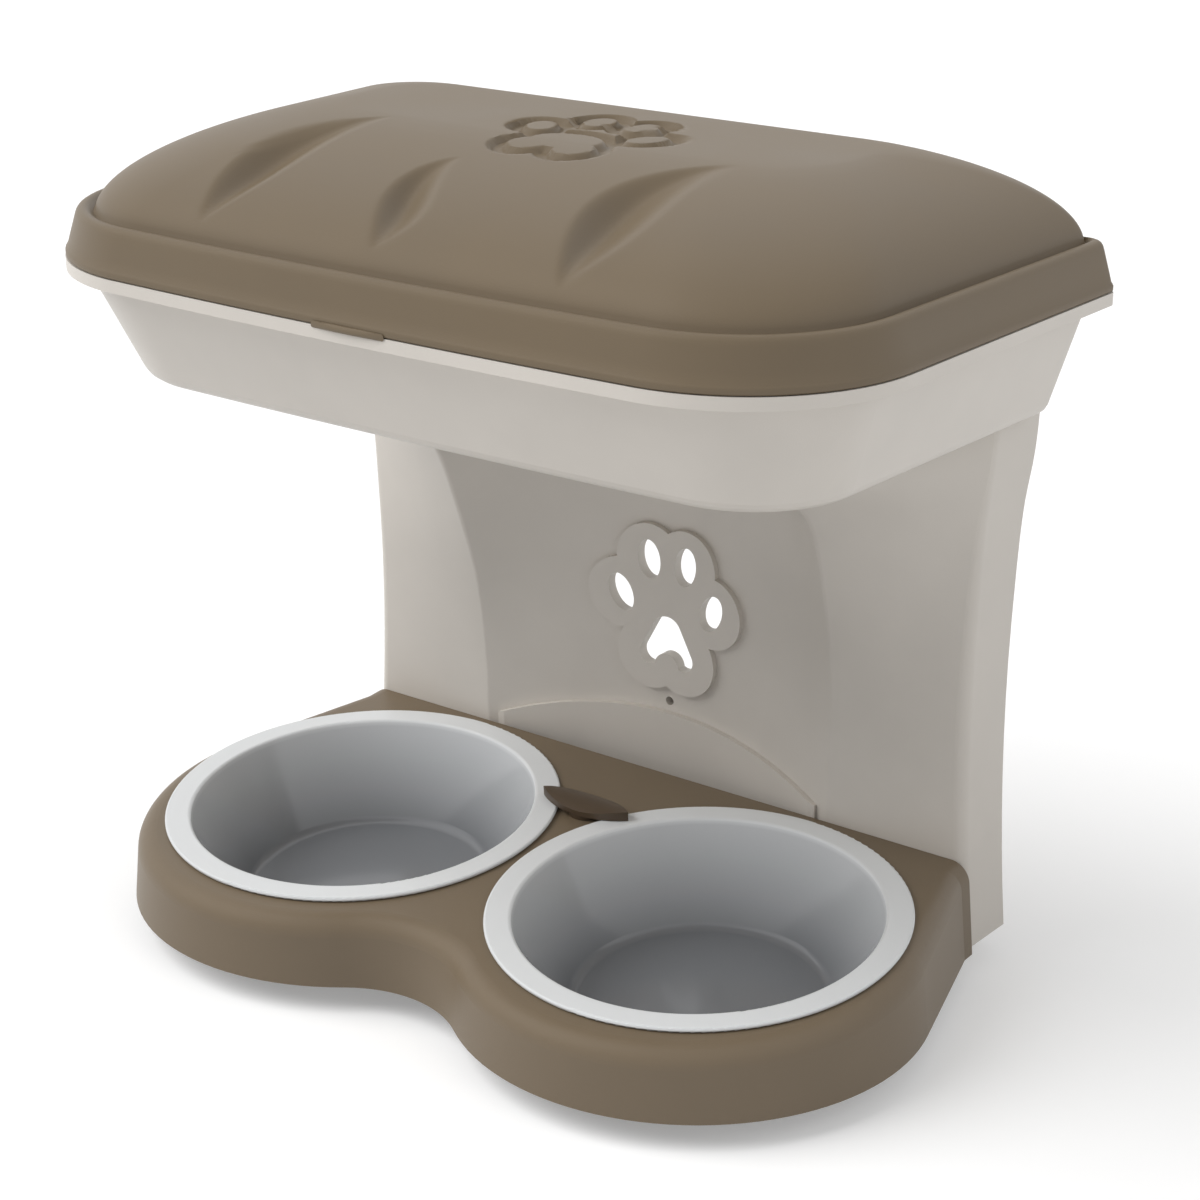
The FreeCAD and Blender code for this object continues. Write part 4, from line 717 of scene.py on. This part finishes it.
def screws_at(name, places, turn, replaced):
    """The screws of one joint as one plain mesh that takes the place of a solid of the frame."""
    points = bpy.data.meshes.new(name)
    points.from_pydata(places, [], [])
    piece = bpy.data.objects.new(name, points)
    bpy.context.collection.objects.link(piece)
    growth = piece.modifiers.new("screws", "NODES")
    growth.node_group = pan_head_tree
    # a recess bar stands half above the head's top
    values = {"Head Radius": HEAD_RADIUS, "Head Height": HEAD_HEIGHT, "Shank Radius": SHANK_RADIUS,
              "Shank Length": SHANK_LENGTH, "Recess Bar": (RECESS_REACH, RECESS_WIDTH, 2 * RECESS_DEPTH),
              "Turn": turn, "Finish": steel_finish}
    for item in pan_head_tree.interface.items_tree:
        if item.in_out == "INPUT" and item.name in values:
            growth[item.identifier] = values[item.name]
    bpy.context.view_layer.update()
    evaluated = piece.evaluated_get(bpy.context.evaluated_depsgraph_get())
    mesh = bpy.data.meshes.new_from_object(evaluated)
    piece.modifiers.remove(growth)
    piece.data = mesh
    smooth_but_sharp(mesh, degrees=32)
    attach(piece, "base")
    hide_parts(replaced)


# the heads sit with their tops where those of the frame's solids are
TUB_FLOOR = max(vertex.co.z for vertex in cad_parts["tub_screws"].data.vertices) - HEAD_HEIGHT
COLUMN_INSIDE = max(vertex.co.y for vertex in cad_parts["tray_screws"].data.vertices) - HEAD_HEIGHT
TUB_SCREWS = ((0.165, 0.106), (0.134, 0.048))
TRAY_SCREW_X = 0.14
TRAY_SCREW_Z = 0.036
tub_places = [(side * x, y, TUB_FLOOR) for x, y in TUB_SCREWS for side in (-1, 1)]
tray_places = [(side * TRAY_SCREW_X, COLUMN_INSIDE, TRAY_SCREW_Z) for side in (-1, 1)]
screws_at("tub_screw_set", tub_places, (0.0, 0.0, 0.0), "tub_screws")
screws_at("tray_screw_set", tray_places, (-math.pi / 2, 0.0, 0.0), "tray_screws")

# Studio
# A white paper floor, a soft sky all round, a broad lamp from the left and a weaker one from the right.
# The camera stands to the right of the front and looks down.
FLOOR_HALF = 9
PAPER_GREY = 0.78
PAPER_GLOW = 0.28
SKY_LIGHT = 0.43
SKY_SEEN = 1.0


def seen_or_mirrored(nodes, links):
    """1 for what the camera or a mirrored ray sees, 0 for light that falls on the object."""
    ray = nodes.new("ShaderNodeLightPath")
    either = nodes.new("ShaderNodeMath")
    either.operation = "MAXIMUM"
    links.new(ray.outputs["Is Camera Ray"], either.inputs[0])
    links.new(ray.outputs["Is Glossy Ray"], either.inputs[1])
    return either.outputs["Value"]


floor_corners = [(x * FLOOR_HALF, y * FLOOR_HALF, 0) for x, y in ((-1, -1), (1, -1), (1, 1), (-1, 1))]
floor_mesh = bpy.data.meshes.new("floor")
floor_mesh.from_pydata(floor_corners, [], [(0, 1, 2, 3)])
floor = bpy.data.objects.new("floor", floor_mesh)
bpy.context.collection.objects.link(floor)
paper = bpy.data.materials.new("white_paper")
paper.use_nodes = True
nodes, links = paper.node_tree.nodes, paper.node_tree.links
sheet = nodes["Principled BSDF"]
sheet.inputs["Base Color"].default_value = (PAPER_GREY, PAPER_GREY, PAPER_GREY, 1)
sheet.inputs["Roughness"].default_value = 0.95
sheet.inputs["Specular IOR Level"].default_value = 0.0
sheet.inputs["Emission Color"].default_value = (1, 1, 1, 1)
glow = nodes.new("ShaderNodeMapRange")
glow.inputs["To Max"].default_value = PAPER_GLOW
links.new(seen_or_mirrored(nodes, links), glow.inputs["Value"])
links.new(glow.outputs["Result"], sheet.inputs["Emission Strength"])
floor_mesh.materials.append(paper)

world = bpy.data.worlds.new("studio")
bpy.context.scene.world = world
world.use_nodes = True
nodes, links = world.node_tree.nodes, world.node_tree.links
sky = nodes["Background"]
sky.inputs["Color"].default_value = (1, 1, 1, 1)
sky_level = nodes.new("ShaderNodeMapRange")
sky_level.inputs["To Min"].default_value = SKY_LIGHT
sky_level.inputs["To Max"].default_value = SKY_SEEN
links.new(seen_or_mirrored(nodes, links), sky_level.inputs["Value"])
links.new(sky_level.outputs["Result"], sky.inputs["Strength"])


def studio_lamp(name, power, spread, travel):
    """A broad far lamp, left out of mirrored images so that it leaves no hard highlight."""
    lamp_data = bpy.data.lights.new(name, "SUN")
    lamp_data.energy = power
    lamp_data.angle = math.radians(spread)
    lamp = bpy.data.objects.new(name, lamp_data)
    lamp.rotation_euler = Vector(travel).to_track_quat("-Z", "Y").to_euler()
    lamp.visible_glossy = False
    bpy.context.collection.objects.link(lamp)


studio_lamp("main_lamp", power=2.4, spread=50, travel=(0.55, 0.4, -0.72))
studio_lamp("fill_lamp", power=0.5, spread=50, travel=(-0.85, -0.1, -0.6))

LOOKS_DOWN = math.radians(21.08)
LOOKS_LEFT = math.radians(36.06)
camera_data = bpy.data.cameras.new("camera")
camera_data.lens = 78.74
camera_data.sensor_width = 36.0
camera = bpy.data.objects.new("camera", camera_data)
camera.location = (0.7396, -0.9620, 0.6594)
camera.rotation_euler = (math.pi / 2 - LOOKS_DOWN, 0, LOOKS_LEFT)
bpy.context.collection.objects.link(camera)
bpy.context.scene.camera = camera
bpy.context.scene.view_settings.view_transform = "Standard"
